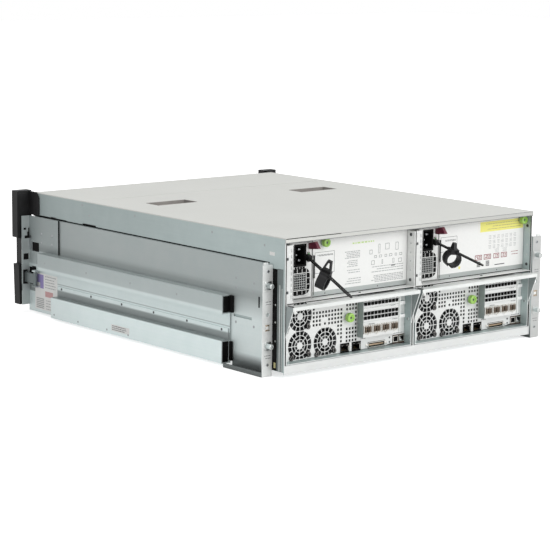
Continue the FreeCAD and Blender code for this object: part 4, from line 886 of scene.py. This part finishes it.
# ---------------------------------------------------------------- power supplies
def supply_fittings(side):
    """Black inlet, its blades, the fine guard mesh and the small parts of one supply's face."""
    body = f"psu_{side}"
    low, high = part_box(f"psu_{side}_case")
    origin = Vector((low[0], high[1] - 0.8 * MM, low[2]))
    inlet = tub(Form(origin), (12.45, -16.9, 42.15), (27.55, 0.85, 65.65), 0.3, 1)
    collar(inlet, (20, 53.9), (9.9, 14.1), (7.3, 11.5), 0.0, 1.15)
    piece(f"inlet_moulding_{side}", inlet, body, BLACK_AND_SHADE)
    blocks(f"inlet_pins_{side}", origin,
           [((across - 2.1, -16.6, 52.8 + up), (across + 2.1, -3.8, 55.0 + up))
            for across, up in ((17, 7), (17, -7), (23, 0))], body, COLLAR_GREY, 0.3)
    middles = ((8.5, 8.5), (-8.5, 8.5), (-8.5, -8.5), (8.5, -8.5))
    guard = [(20 + x, 20.5 + z) for quarter, middle in enumerate(middles)
             for x, z in arc(middle, 8, 90 * quarter, 90 * quarter + 90)]
    piece(f"guard_gauze_{side}", Form(origin).prism(guard, "y", 0.05, 0.3), body, BLACK_AND_SHADE)
    mesh, ribs = Form(origin), Form(origin)
    for step in range(7):
        place = -9.0 + step * 3.0
        mesh.wire([(20 + place, 0.35, 11.0), (20 + place, 0.35, 30.0)], 0.34, 6)
        mesh.wire([(10.4, 0.45, 20.5 + place), (29.6, 0.45, 20.5 + place)], 0.34, 6)
    piece(f"guard_mesh_{side}", mesh, body, STEEL)
    for place in (-10.8, 10.8):
        ribs.block((20 + place - 0.45, 0.1, 4.4), (20 + place + 0.45, 0.75, 36.6), 0.12)
        ribs.block((4.0, 0.1, 20.5 + place - 0.45), (36.0, 0.75, 20.5 + place + 0.45), 0.12)
    for place in (-4.0, 4.0):
        for near, far in ((4.2, 9.6), (31.4, 36.8)):
            ribs.block((20 + place - 0.35, 0.1, near), (20 + place + 0.35, 0.7, far), 0.1)
            ribs.block((near - 0.5, 0.1, 20.5 + place - 0.35), (far - 0.5, 0.7, 20.5 + place + 0.35), 0.1)
    piece(f"guard_ribs_{side}", ribs, body, SUPPLY_WHITE)
    # Dark marks stand for the upper vent cells: painted shade inside them.
    cells = [(11.4 + 4.4 * column, up, 15.0 + 4.4 * column, up + 2.3)
             for column in range(4) for up in (33.9, 37.1)]
    marks(f"supply_upper_vents_{side}", origin, cells, body, BLACK_AND_SHADE)
    bezel = [((3.7, -0.1, 52.6), (8.3, 0.9, 57.4))]
    blocks(f"supply_lamp_bezel_{side}", origin, bezel, body, GRIP_GREY, 0.4)
    lens = Form(origin).lathe((6.0, 0.7, 55.0), "y", [(0, 1.2), (0.5, 1.1), (0.8, 0.5)], 18)
    piece(f"supply_lamp_{side}", lens, body, LENS_GREEN)
    marks(f"supply_lines_{side}", origin, frame_line((0.6, 0.6), (39.4, 69.2), 0.3)
          + [(9.0, 34.0, 31.0, 34.3), (2.4, 2.2, 37.6, 2.5)], body, INK_FAINT)
    screw_heads(f"supply_screws_{side}", origin, [(37.0, 0, 3.4), (37.0, 0, 66.4)], body, "y", radius=1.5)
    bar = Form(corner(f"rear_panel_{side}", 0, 1, 0))
    across = (low[0] - 3.3 * MM - bar.origin[0]) / MM
    bar.block((across - 0.9, 0, 24.5), (across + 0.9, 1.6, 53.5), 0.3)
    bar.block((across - 0.35, 0, 2.6), (across + 0.35, 0.3, 24.5))
    piece(f"supply_stop_bar_{side}", bar, "chassis", BLACK)
    blocks(f"latch_ribs_{side}", corner(f"psu_{side}_latch", 0.5, 1, 1),
           [((-1.9, -6.4 + step * 1.6, -2.2 - step * 1.7), (1.9, -5.6 + step * 1.6, -0.9 - step * 1.7))
            for step in range(3)], f"psu_latch_{side}", MAROON, 0.2)
    catch = Form(corner(f"psu_{side}_latch", 0.5, 0, 1))
    catch.block((-3.2, -0.4, 0.6), (3.0, 4.2, 2.0), 0.3)
    catch.block((2.0, 3.0, 0.4), (9.4, 4.0, 1.6), 0.2)
    catch.block((-8.8, 2.6, 1.2), (-2.6, 3.8, 2.4), 0.2)
    catch.block((-9.6, 2.6, -0.6), (-8.4, 3.8, 2.4), 0.2)
    piece(f"latch_catch_{side}", catch, "chassis", DARK_STEEL)


def guard_strips():
    """Spring fingers and clips on the strips beside the supplies, painted shadow under the shelf's edge, and
    the divider's screws.
    """
    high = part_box("bay_frame")[1]
    for side, across in (("left", 205.2), ("right", -14.8)):
        origin = Vector((across * MM, high[1] - 2 * MM, 91 * MM))
        fingers = [((2.4, 0, 4 + step * 7.2), (3.6, 0.7, 8.4 + step * 7.2)) for step in range(9)]
        blocks(f"guard_fingers_{side}", origin, fingers, "chassis", STEEL, 0.25)
        blocks(f"guard_seam_{side}", origin, [((-0.15, -1.5, 0.6), (0.5, 0.05, 69.6))], "chassis", BLACK)
        for up in (10, 52):
            blocks(f"guard_clip_{side}_{up}", origin, [((8.0, 0, up), (10.4, 0.9, up + 3.4))], "chassis",
                   DARK_STEEL, 0.3)
    # Dark strips under the shelf's edge: painted shadow in the gap above the controllers.
    shelf_shadows = [((near, 279.0, 87.7), (far, 280.25, 88.9)) for near, far in ((2.0, 216.0), (-216.0, -2.0))]
    blocks("shelf_shadow_strips", (0, 0, 0), shelf_shadows, "chassis", BLACK_AND_SHADE, 0.1)
    middle = Vector((0.6 * MM, high[1], 0))
    wall = corner("chassis_tray", 0, 1, 0) + Vector((1.2, 0, 0)) * MM
    for name, origin, screws, dimples in (("divider", middle, (156.5, 97.0), (110, 122, 133, 145)),
                                          ("wall", wall, (97.0, 150.0), (110.0, 124.0))):
        screw_heads(f"{name}_screws", origin, [(0, -7.5, up) for up in screws], "chassis", radius=2.1)
        domes(f"{name}_dimples", origin, [(0, -7.5, up) for up in dimples], 1.2, "chassis", STEEL, rise=0.4)


STRAP_SLOPE = {"left": 25.5, "right": 12.6}     # degrees below level


def straps(side):
    """Teeth along the ladder strap."""
    slope = math.radians(STRAP_SLOPE[side])
    low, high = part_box(f"psu_{side}_strap")
    start = Vector(((low[0] + high[0]) / 2, low[1] + 0.6 * MM, high[2] - 3.8 * MM))
    run = Vector((0, math.cos(slope), -math.sin(slope)))
    out = Vector((0, math.sin(slope), math.cos(slope)))
    middles = [run * (8.6 + 2.9 * step) + out * 0.85 for step in range(26)]
    teeth = [(middle - Vector((1.9, 0.45, 0.25)), middle + Vector((1.9, 0.45, 0.35))) for middle in middles]
    blocks(f"strap_teeth_{side}", start, teeth, f"psu_{side}", SOFT_BLACK)


# ---------------------------------------------------------------- panels
def left_panel_print():
    """Outlined box and groups of small print on the left panel."""
    origin = corner("rear_panel_left", 0, 1, 0)
    body = "chassis"
    marks("left_box", origin, frame_line((125.3, 29.6), (158.2, 56.6), 0.5), body, INK_GREY)
    marks("left_box_caption", origin, lines_of_print(41, (128, 51.4), (157, 53.2), 2, 0.7), body, INK_GREY)
    marks("left_title", origin, lines_of_print(42, (58, 61.8), (104, 63.8), 1, 2.0), body, INK_GREEN)
    groups = [(43, (82, 44), (108, 53), 5), (44, (86, 33), (104, 41), 4), (45, (82, 25), (106, 29), 2),
              (46, (80, 11), (108, 18), 3), (47, (6, 22), (66, 29.5), 3), (48, (6, 9), (66, 18), 5)]
    marks("left_small_print", origin, print_groups(groups, 1.0), body, INK_FAINT)
    boxes = [(60.5, 46, 65.5, 51.5), (47, 46, 50, 58), (31, 50, 38, 58), (15, 48, 20, 58),
             (53, 40.5, 57, 43.8), (44, 40.5, 48.6, 43.8), (35, 40.5, 39, 43.8), (26, 40.5, 31, 43.8),
             (17.5, 40.5, 21, 43.8), (8.5, 40.5, 13, 43.8), (9, 31.5, 14.5, 36.6), (22, 31.5, 25, 37.5),
             (56.6, 31.8, 62, 37.4), (42, 31.8, 44, 37.4)]
    spans = [span for box in boxes for span in frame_line(box[:2], box[2:], 0.5)]
    marks("left_print_blocks", origin, spans, body, INK_GREY)
    marks("left_dark_bar", origin, [(20.5, 27.6, 27.5, 29.0)], body, INK_DARK)


def right_panel_print():
    """Yellow strip, outlined boxes, pale rows and a yellow dot on the right panel."""
    origin = corner("rear_panel_right", 0, 1, 0)
    body = "chassis"
    marks("yellow_strip", origin, [(1.0, 57.2, 84.2, 71.0)], body, YELLOW)
    marks("yellow_strip_print", origin, lines_of_print(51, (6, 60), (78, 68), 3, 0.9), body, INK_OLIVE,
          lift=INK)
    marks("right_box", origin, frame_line((127.6, 36.6), (157.8, 56.6), 0.5), body, INK_GREY)
    marks("right_box_caption", origin, lines_of_print(52, (130, 50.6), (156, 52.6), 2, 0.7), body, INK_GREY)
    boxes = [(80.0, 93.0), (62.5, 76.0), (46.5, 57.5), (31.5, 43.0)]
    spans = [span for low, high in boxes for span in frame_line((low, 19.6), (high, 26.6), 1.0)]
    spans += print_groups([(int(low), (low + 2, 21.6), (high - 2, 24.8), 2) for low, high in boxes], 1.2)
    spans += lines_of_print(53, (10, 22), (26, 26.5), 2, 0.8)
    marks("right_red_boxes", origin, spans, body, INK_RED)
    grid = [(x + 1.7 * i, 10.4 + 1.9 * j, x + 1.7 * i + 1.3, 10.4 + 1.9 * j + 1.5)
            for x in (82.6, 65.6) for i in range(4) for j in range(4)]
    marks("right_dark_blocks", origin, grid + [(36.0, 10.2, 55.0, 11.4)], body, INK_DARK)
    table = [(60 + row * 7 + column, (14.5 + column * 8, 34.0 + row * 6.6),
              (20.0 + column * 8, 38.2 + row * 6.6), 3) for row in range(3) for column in range(7)]
    table += [(90, (47, 28.4), (56, 32.4), 3), (91, (32, 28.4), (41, 32.4), 3)]
    marks("right_table", origin, print_groups(table, 0.6), body, INK_FAINT)
    dot = Form(origin).prism(disc((-96.0 + 218.3, 13.0), 2.0), "y", 0, INK)
    piece("yellow_dot", dot, body, YELLOW)


SHELF_RISE = 79.8       # the controller shelf's top over the bay frame's lowest edge


def panel_edges():
    """Rivets, the pale lip and the dark seam along the panels' lower folds, and the shelf's screws."""
    for side in SIDES:
        panel = f"rear_panel_{side}"
        middle = corner(panel, 0.5, 1, 0)
        domes(f"panel_rivets_{side}", middle, [(-30, 0, 3.6), (60, 0, 3.6)], 0.9, "chassis", DARK_STEEL, "y",
              rise=0.3)
        low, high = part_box(panel)
        width = (high[0] - low[0]) / MM
        edge = corner(panel, 0, 1, 0)
        marks(f"panel_fold_{side}", edge, [(0, 0.9, width, 6.8)], "chassis", ZINC_FOLD)
        marks(f"panel_seam_{side}", edge, [(0, 0.0, width, 0.9)], "chassis", BLACK_AND_SHADE)
    top = corner("bay_frame", 0, 1, 0) + Vector((0, 0, SHELF_RISE)) * MM
    screw_heads("shelf_screws", top, [(89, -6, 0), (309, -6, 0)], "chassis", "z", radius=1.6)


# ---------------------------------------------------------------- top and sides
def cover_details():
    """Grip mouldings sunk in the cover, and painted shadow under its rear lip, darkest towards +X."""
    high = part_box("rear_top_cover")[1]
    for side in SIDES:
        near, far = sorted(mirrored(side) * across for across in (95.4, 162.6))
        origin = Vector((near * MM, -88.6 * MM, high[2]))
        grip = tub(Form(origin), (0, 0, -6.8), (far - near, 29.2, 0.25), 0.6, 2)
        for step in range(9):
            grip.block((3 + step * 7.2, 1.0, -6.3), (6.2 + step * 7.2, 28.2, -5.7), 0.2)
        piece(f"grip_moulding_{side}", grip, "rear_cover", GRIP_GREY)
    origin = Vector((0, high[1], high[2]))
    # Painted shadow: strips under the lip, black at its +X end.
    lip = [((-219.8, -0.05, -6.2), (219.8, 0.12, -5.5)), ((-219.8, -0.05, -0.95), (130.0, 0.1, -0.45))]
    blocks("cover_lip_shadow", origin, lip, "rear_cover", INK_GREY)
    blocks("cover_lip_deep_shadow", origin, [((130.0, -0.05, -1.3), (219.8, 0.14, -0.35))], "rear_cover", BLACK_AND_SHADE)


def side_details():
    """Pressings, marks and painted shadow lines on the chassis walls, a painted shadow strip at each wall's
    rear edge, and the tab on each rear flange.
    """
    for side in SIDES:
        sign = mirrored(side)
        outer = 1 if sign > 0 else 0
        wall = corner("chassis_tray", outer, 0.5, 0)
        places = [(0, -160, 165), (0, -143, 152), (0, -35, 164), (0, 134, 162), (0, 240, 158)]
        domes(f"wall_pressings_{side}", wall, places, 1.7, "chassis", COLLAR_GREY, way=sign, rise=0.35)
        marks(f"wall_mark_{side}", wall, [(250, 147, 260, 151.5)], "chassis", WHITE_LABEL, "x", sign)
        shadow_lines = [((0, 0.25), (start, 136.6), (end, 136.6 + rise))
                 for start, end, rise in ((-218, 250, 1.5), (-284, -200, 2.2), (-159, -127, 2.8))]
        slabs(f"rail_shadow_gap_{side}", wall, sign, shadow_lines, "chassis", BLACK_AND_SHADE)
        # Black strip along the inside of the wall's rear edge: painted shadow in the gap there.
        edge_shadow = [((-0.6, 279.2, 12), (0.6, 280.1, 168))]
        blocks(f"wall_edge_shadow_{side}", (sign * 218.2 * MM, 0, 0), edge_shadow, "chassis", BLACK)
        tab = [((-9, -2), (-9.5, -0.2), (-8.0, 3.2))]
        slabs(f"flange_tab_{side}", corner(f"rail_rear_{side}", outer, 1, 1), sign, tab,
              f"rail_slide_{side}", ZINC_BRIGHT, 0.4)


FLANGE_THICK = 1.4      # front flange of a fixed rail
RAIL_FACES = {"wall": 223.4, "plate": 224.8, "channel": 236.0, "box": 235.0}     # outward, to each face


def rail_details(side):
    """Rivets, slots drawn as painted shade, stickers and painted shade in the channels' open ends on the
    fixed half of one rail.
    """
    sign = mirrored(side)
    body = "chassis"
    wall, plate, channel, box = (Vector((sign * across * MM, 0, 0)) for across in RAIL_FACES.values())
    for name, face, places, radius, finish, rise in (
            ("bracket", wall, [(0, y, z) for y in (-259, -232) for z in (100, 113)], 2.0, COLLAR_GREY, 0.7),
            ("plate", plate, [(0, -206 + 73.4 * i, 40) for i in range(6)], 1.7, DARK_STEEL, 0.7),
            ("channel", channel, [(0, -232 + 104 * i, 75) for i in range(4)], 1.5, COLLAR_GREY, 0.4),
            ("box", box, [(0, -210, 4), (0, -150, 3), (0, -80, 3), (0, -30, 3)], 1.5, COLLAR_GREY, 0.4)):
        domes(f"{name}_rivets_{side}", face, places, radius, body, finish, way=sign, rise=rise)
    slabs(f"bracket_patch_{side}", wall, sign,
          [((0, 0.2), (-285, 64), (-272, 86)), ((0, 0.2), (-285, 99), (-272, 103))], body, ZINC_RAIL)
    # Dark marks stand for the bracket's slots and a seam: painted shade inside them.
    slabs(f"bracket_slots_{side}", wall, sign,
          [((0, 0.25), (-281, 86), (-265.5, 99)), ((0, 0.25), (-290, 37), (-277, 62)),
           ((-1.3, -0.1), (-216, 87.5), (-214.9, 136.4))], body, BLACK_AND_SHADE)
    flange_back = corner(f"rail_front_{side}", 0, 0, 0)[1] + FLANGE_THICK * MM
    # Dark marks stand for the flange's slots: painted shade inside them.
    slabs(f"flange_slots_{side}", (0, flange_back, 0), sign,
          [((low[0], high[0]), (0, low[1]), (0.25, high[1])) for low, high in (
              ((223.5, 103.5), (231.5, 107.5)), ((223.5, 107.5), (227.0, 113.0)),
              ((223.5, 112.5), (225.2, 118.5)), ((229.0, 116.0), (233.0, 119.0)))], body, BLACK_AND_SHADE)
    housing = [((0, 1.3), (-287, 56), (-270, 104))]
    slabs(f"latch_housing_{side}", (sign * 220.6 * MM, 0, 0), sign, housing, body, DARK_STEEL)
    slabs(f"bracket_pads_{side}", wall, sign, [((0, 0.2), (-291, 88), (-285, 108))], body, COLLAR_GREY)
    # Dark blocks in the channels' open ends: painted shade inside them.
    slabs(f"channel_end_shadows_{side}", (0, 0, 0), sign,
          [((223.6, 234.4), (150, 64.6), (175.6, 85.4)), ((223.6, 233.4), (150, -0.2), (173.6, 26.4)),
           ((222.4, 225.0), (176.3, 64.6), (183.0, 86.4)), ((222.4, 225.0), (176.3, 2.0), (181.0, 27.0))],
          body, BLACK_AND_SHADE, 0.2)
    bars = [(-273, 5 + 2.6 * i, -253, 6.5 + 2.6 * i) for i in range(6)]
    text = (lines_of_print(72, (-250, 36), (-221, 53), 5, 1.1)
            + lines_of_print(73, (-248, 5), (-222, 18), 4, 1.0))
    for name, face, spans, finish, lift in (
            ("sticker", wall, [(-276, 3, -218.5, 56)], WHITE_LABEL, 0.0),
            ("sticker_violet", wall, [(-270, 42, -254, 54), (-263, 34, -254, 42)], INK_VIOLET, INK),
            ("sticker_red", wall, [(-250, 23, -230, 31)], INK_ROSE, INK),
            ("sticker_lines", wall, text + bars, INK_FAINT, INK),
            ("label", box, [(-69, 3.5, -27, 12.5)], WHITE_LABEL, 0.0),
            ("label_print", box, lines_of_print(71, (-67, 5), (-32, 11), 3, 1.0), INK_GREY, INK)):
        marks(f"rail_{name}_{side}", face, spans, body, finish, "x", sign, lift)


RIGHT_RAIL_OUT = 25     # how much further the right slide stands out at rest


def slide_details(side):
    """Rivets, studs' seats and holes of the sliding half of one rail."""
    sign = mirrored(side)
    body = f"rail_slide_{side}"
    shift = RIGHT_RAIL_OUT if side == "right" else 0
    face, edge = (Vector((sign * across * MM, shift * MM, 0)) for across in (221.6, 223.8))
    rivets = [(0, 186, 110), (0, 186, 98), (0, 222, 108), (0, 221, 96), (0, 186, 53), (0, 222, 52)]
    domes(f"slide_rivets_{side}", face, rivets, 1.8, body, COLLAR_GREY, way=sign, rise=0.4)
    # Dark mark stands for the slit: painted shade inside it.
    marks(f"slide_slit_{side}", face, [(230.8, 78, 233.6, 92)], body, BLACK_AND_SHADE, "x", sign)
    slabs(f"slide_stiffener_{side}", face, sign, [((0, 2.2), (243, 43), (250, 115))], body, ZINC_SLIDE, 0.4)
    domes(f"stiffener_dots_{side}", edge, [(0, 246.5, up) for up in (98, 75, 56)], 1.7, body, WHITE_PLASTIC,
          way=sign, rise=0.5)
    flange = Vector((sign * 228 * MM, corner(f"rail_rear_{side}", 0.5, 1, 0)[1] - 8 * MM, 0))
    seats = Form(flange)
    for up in (33.8, 110.0):
        seats.block((-5.4, 0, up - 5.4), (5.4, 0.9, up + 5.4), 0.3)
        seats.lathe((0, 8, up), "y", [(-0.2, 3.35), (0.15, 2.6), (0.3, 1.0)], 20)
    piece(f"stud_seats_{side}", seats, body, STEEL)
    nut = [((-3.9, 0, 52.9), (3.9, 0.5, 53.6)), ((-3.9, 0, 60.0), (3.9, 0.5, 60.7)),
           ((-3.1, -0.9, 53.7), (3.1, -0.5, 59.9))]
    blocks(f"flange_nut_{side}", flange, nut, body, BRONZE, 0.1)
    nut_face = [((-2.0, -0.5, 54.8), (2.6, -0.2, 58.8))]
    blocks(f"flange_nut_face_{side}", flange, nut_face, body, WHITE_PLASTIC, 0.1)
    captions = [(81, (-5, 86), (5, 90), 2), (82, (-5, 18), (5, 22), 2)]
    marks(f"flange_marks_{side}", flange, print_groups(captions, 0.8), body, INK_GREY)
    screw_heads(f"flange_screws_{side}", flange, [(0, 0, 128), (0, 0, 10)], body, "y", finish=COLLAR_GREY)


def wall_gap(side):
    """What shows between the sliding rail's flange and the end of the chassis wall: painted shadow of the
    flange, darkest next to it, and a bracket's bars, dots and tag.
    """
    sign = mirrored(side)
    wall = Vector((sign * 220 * MM, 0, 0))
    # The shade strip and the dim strip behind it are painted shadow of the flange on the wall.
    for name, depth, spans, finish, edge in (
            ("shade", 0.3, [((250, 3), (265.8, 131))], BLACK_AND_SHADE, 0.1),
            ("half_shade", 0.25, [((265.8, 3), (276.8, 132))], ZINC_SHADED, 0.05),
            ("bars", 0.36, [((270.0, 3), (271.3, 112)), ((274.6, 3), (275.4, 108))], ZINC_BRIGHT, 0.1)):
        strips = [((0, depth), low, high) for low, high in spans]
        slabs(f"wall_gap_{name}_{side}", wall, sign, strips, "chassis", finish, edge)
    dots = [(0.3 * sign, 262.6, z) for z in (86, 64, 40)]
    domes(f"wall_gap_dots_{side}", wall, dots, 1.2, "chassis", STEEL, way=sign, rise=0.04)
    marks(f"wall_gap_tag_{side}", wall, [(260.2, 6, 263.8, 13)], "chassis", INK_OLIVE, "x", sign, 0.3)


# ---------------------------------------------------------------- disk bays
FRONT_STEP = 16     # how far a carrier's face stands behind its lever


def carrier_details():
    """Release button, indicator lenses and label of each disk carrier."""
    for number in range(1, 21):
        node = f"disk_carrier_{number:02d}"
        body = node.replace("disk_", "")
        origin = corner(node, 0, 0, 0) + Vector((0, FRONT_STEP, 0)) * MM
        button, label = [((98.5, -2.2, 3), (104, 0.2, 9))], [((8, -0.06, 2.4), (52, 0.2, 7.6))]
        blocks(f"release_button_{number:02d}", origin, button, body, MAROON, 0.5)
        for name, up, lens in (("ready", 25.6, LENS_GREEN), ("fault", 22.2, LENS_AMBER)):
            lamp = Form(origin).lathe((4.5, 0, up), "y", [(-0.6, 0.7), (-0.3, 1.1), (0.2, 1.1)], 14)
            piece(f"lamp_{name}_{number:02d}", lamp, body, lens)
        blocks(f"carrier_label_{number:02d}", origin, label, body, WHITE_LABEL)


def ear_details():
    """Raised ribs on the front of each end cap."""
    for side in SIDES:
        low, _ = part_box(f"ear_{side}")
        slabs(f"cap_ribs_{side}", (0, low[1], low[2]), mirrored(side),
              [((222.5, 232.5), (-0.35, 112 + step * 6), (0.2, 113.4 + step * 6)) for step in range(5)],
              "chassis", BLACK, 0.15)


def dress_all():
    """Every piece that scene.py adds: those of each side first, then the shared ones."""
    knobs()
    for side in SIDES:
        faceplate(side)
        ports(side)
        card_slots(side)
        fan_faces(side)
        handle_fittings(side)
        supply_fittings(side)
        straps(side)
        rail_details(side)
        slide_details(side)
        wall_gap(side)
    guard_strips()
    left_panel_print()
    right_panel_print()
    panel_edges()
    cover_details()
    side_details()
    carrier_details()
    ear_details()


dress_nodes()
dress_all()


# ---------------------------------------------------------------- stage
WORLD_LIGHT = 0.62      # strength of the surroundings as a light. They show at strength 1.
REAR_LIGHT = 34.0       # watts
TOP_LIGHT = 14.0
FLOOR_SEEN = 0.65       # the floor's own glow to the camera, and in reflections
FLOOR_SHINE = 0.25
FLOOR_DROP = 0.5        # millimetres below the solids
FLOOR_REACH = 9000


def look_from(azimuth, elevation, roll, place, lens):
    """The camera, from its bearings in degrees. At azimuth 0 it looks along +Y."""
    a, e, r = (math.radians(v) for v in (azimuth, elevation, roll))
    back = Vector((math.sin(a) * math.cos(e), -math.cos(a) * math.cos(e), math.sin(e)))
    right = Vector((0, 0, 1)).cross(back).normalized()
    up = back.cross(right)
    tilted_right = right * math.cos(r) + up * math.sin(r)
    tilted_up = up * math.cos(r) - right * math.sin(r)
    data = bpy.data.cameras.new("view_camera")
    data.lens = lens
    camera = bpy.data.objects.new("view_camera", data)
    turn = Matrix((tilted_right, tilted_up, back)).transposed().to_4x4()
    camera.matrix_world = Matrix.Translation(place) @ turn
    bpy.context.scene.collection.objects.link(camera)
    bpy.context.scene.camera = camera


def soft_lamp(name, place, target, size, power):
    """A rectangular lamp that points at the target."""
    data = bpy.data.lights.new(name, "AREA")
    data.shape = "RECTANGLE"
    data.size, data.size_y = size
    data.energy = power
    lamp = bpy.data.objects.new(name, data)
    aim = (Vector(target) - Vector(place)).to_track_quat("-Z", "Y")
    lamp.matrix_world = Matrix.Translation(place) @ aim.to_matrix().to_4x4()
    bpy.context.scene.collection.objects.link(lamp)


def white_sweep():
    """Floor that shows white to the camera and in reflections, and keeps the shadow."""
    finish = Finish("white_sweep", roughness=0.9)
    finish.paint("Base Color", finish.mix(finish.noise(3), (0.86, 0.86, 0.86), (0.88, 0.88, 0.88)))
    paths = finish.tree.nodes.new("ShaderNodeLightPath")
    eye, gloss, through = (Value(finish, paths.outputs[f"Is {ray} Ray"])
                           for ray in ("Camera", "Glossy", "Transmission"))
    strength = eye * FLOOR_SEEN + (gloss + through) * FLOOR_SHINE
    glow = finish.node("ShaderNodeEmission", {}, {"Strength": strength})
    both = finish.node("ShaderNodeAddShader", {}, {0: Value(finish, finish.surface.outputs[0]), 1: glow})
    finish.tree.links.new(both.socket, finish.tree.nodes["Material Output"].inputs["Surface"])
    floor = Form((0, 0, CAD_LOW[2] - FLOOR_DROP * MM))
    floor.block((-FLOOR_REACH, -FLOOR_REACH, -10), (FLOOR_REACH, FLOOR_REACH, 0))
    data = bpy.data.meshes.new("floor")
    floor.mesh.to_mesh(data)
    floor.mesh.free()
    thing = bpy.data.objects.new("floor", data)
    bpy.context.scene.collection.objects.link(thing)
    finish.dress(thing)
    thing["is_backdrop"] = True


def studio():
    """White surroundings, which light the part less than they show, and two soft lamps."""
    world = bpy.data.worlds.new("studio")
    world.use_nodes = True
    bpy.context.scene.world = world
    tree = world.node_tree
    shade = tree.nodes["Background"]
    paths = tree.nodes.new("ShaderNodeLightPath")
    total = paths.outputs["Is Camera Ray"]
    for ray in ("Is Glossy Ray", "Is Transmission Ray"):
        joined = tree.nodes.new("ShaderNodeMath")
        joined.operation = "MAXIMUM"
        tree.links.new(total, joined.inputs[0])
        tree.links.new(paths.outputs[ray], joined.inputs[1])
        total = joined.outputs[0]
    level = tree.nodes.new("ShaderNodeMapRange")
    level.inputs["To Min"].default_value = WORLD_LIGHT
    level.inputs["To Max"].default_value = 1.0
    tree.links.new(total, level.inputs["Value"])
    tree.links.new(level.outputs[0], shade.inputs["Strength"])
    shade.inputs["Color"].default_value = (1, 1, 1, 1)
    middle = (0, 0, 0.08)
    soft_lamp("rear_light", (-0.5, 2.6, 1.3), middle, (2.4, 1.6), REAR_LIGHT)
    soft_lamp("top_light", (0.2, 0.2, 2.6), middle, (2.4, 2.4), TOP_LIGHT)


white_sweep()
studio()
look_from(azimuth=140.21, elevation=9.47, roll=0.6, place=(1.7836, 2.1381, 0.5308), lens=131.2)
bpy.context.scene.view_settings.view_transform = "Standard"
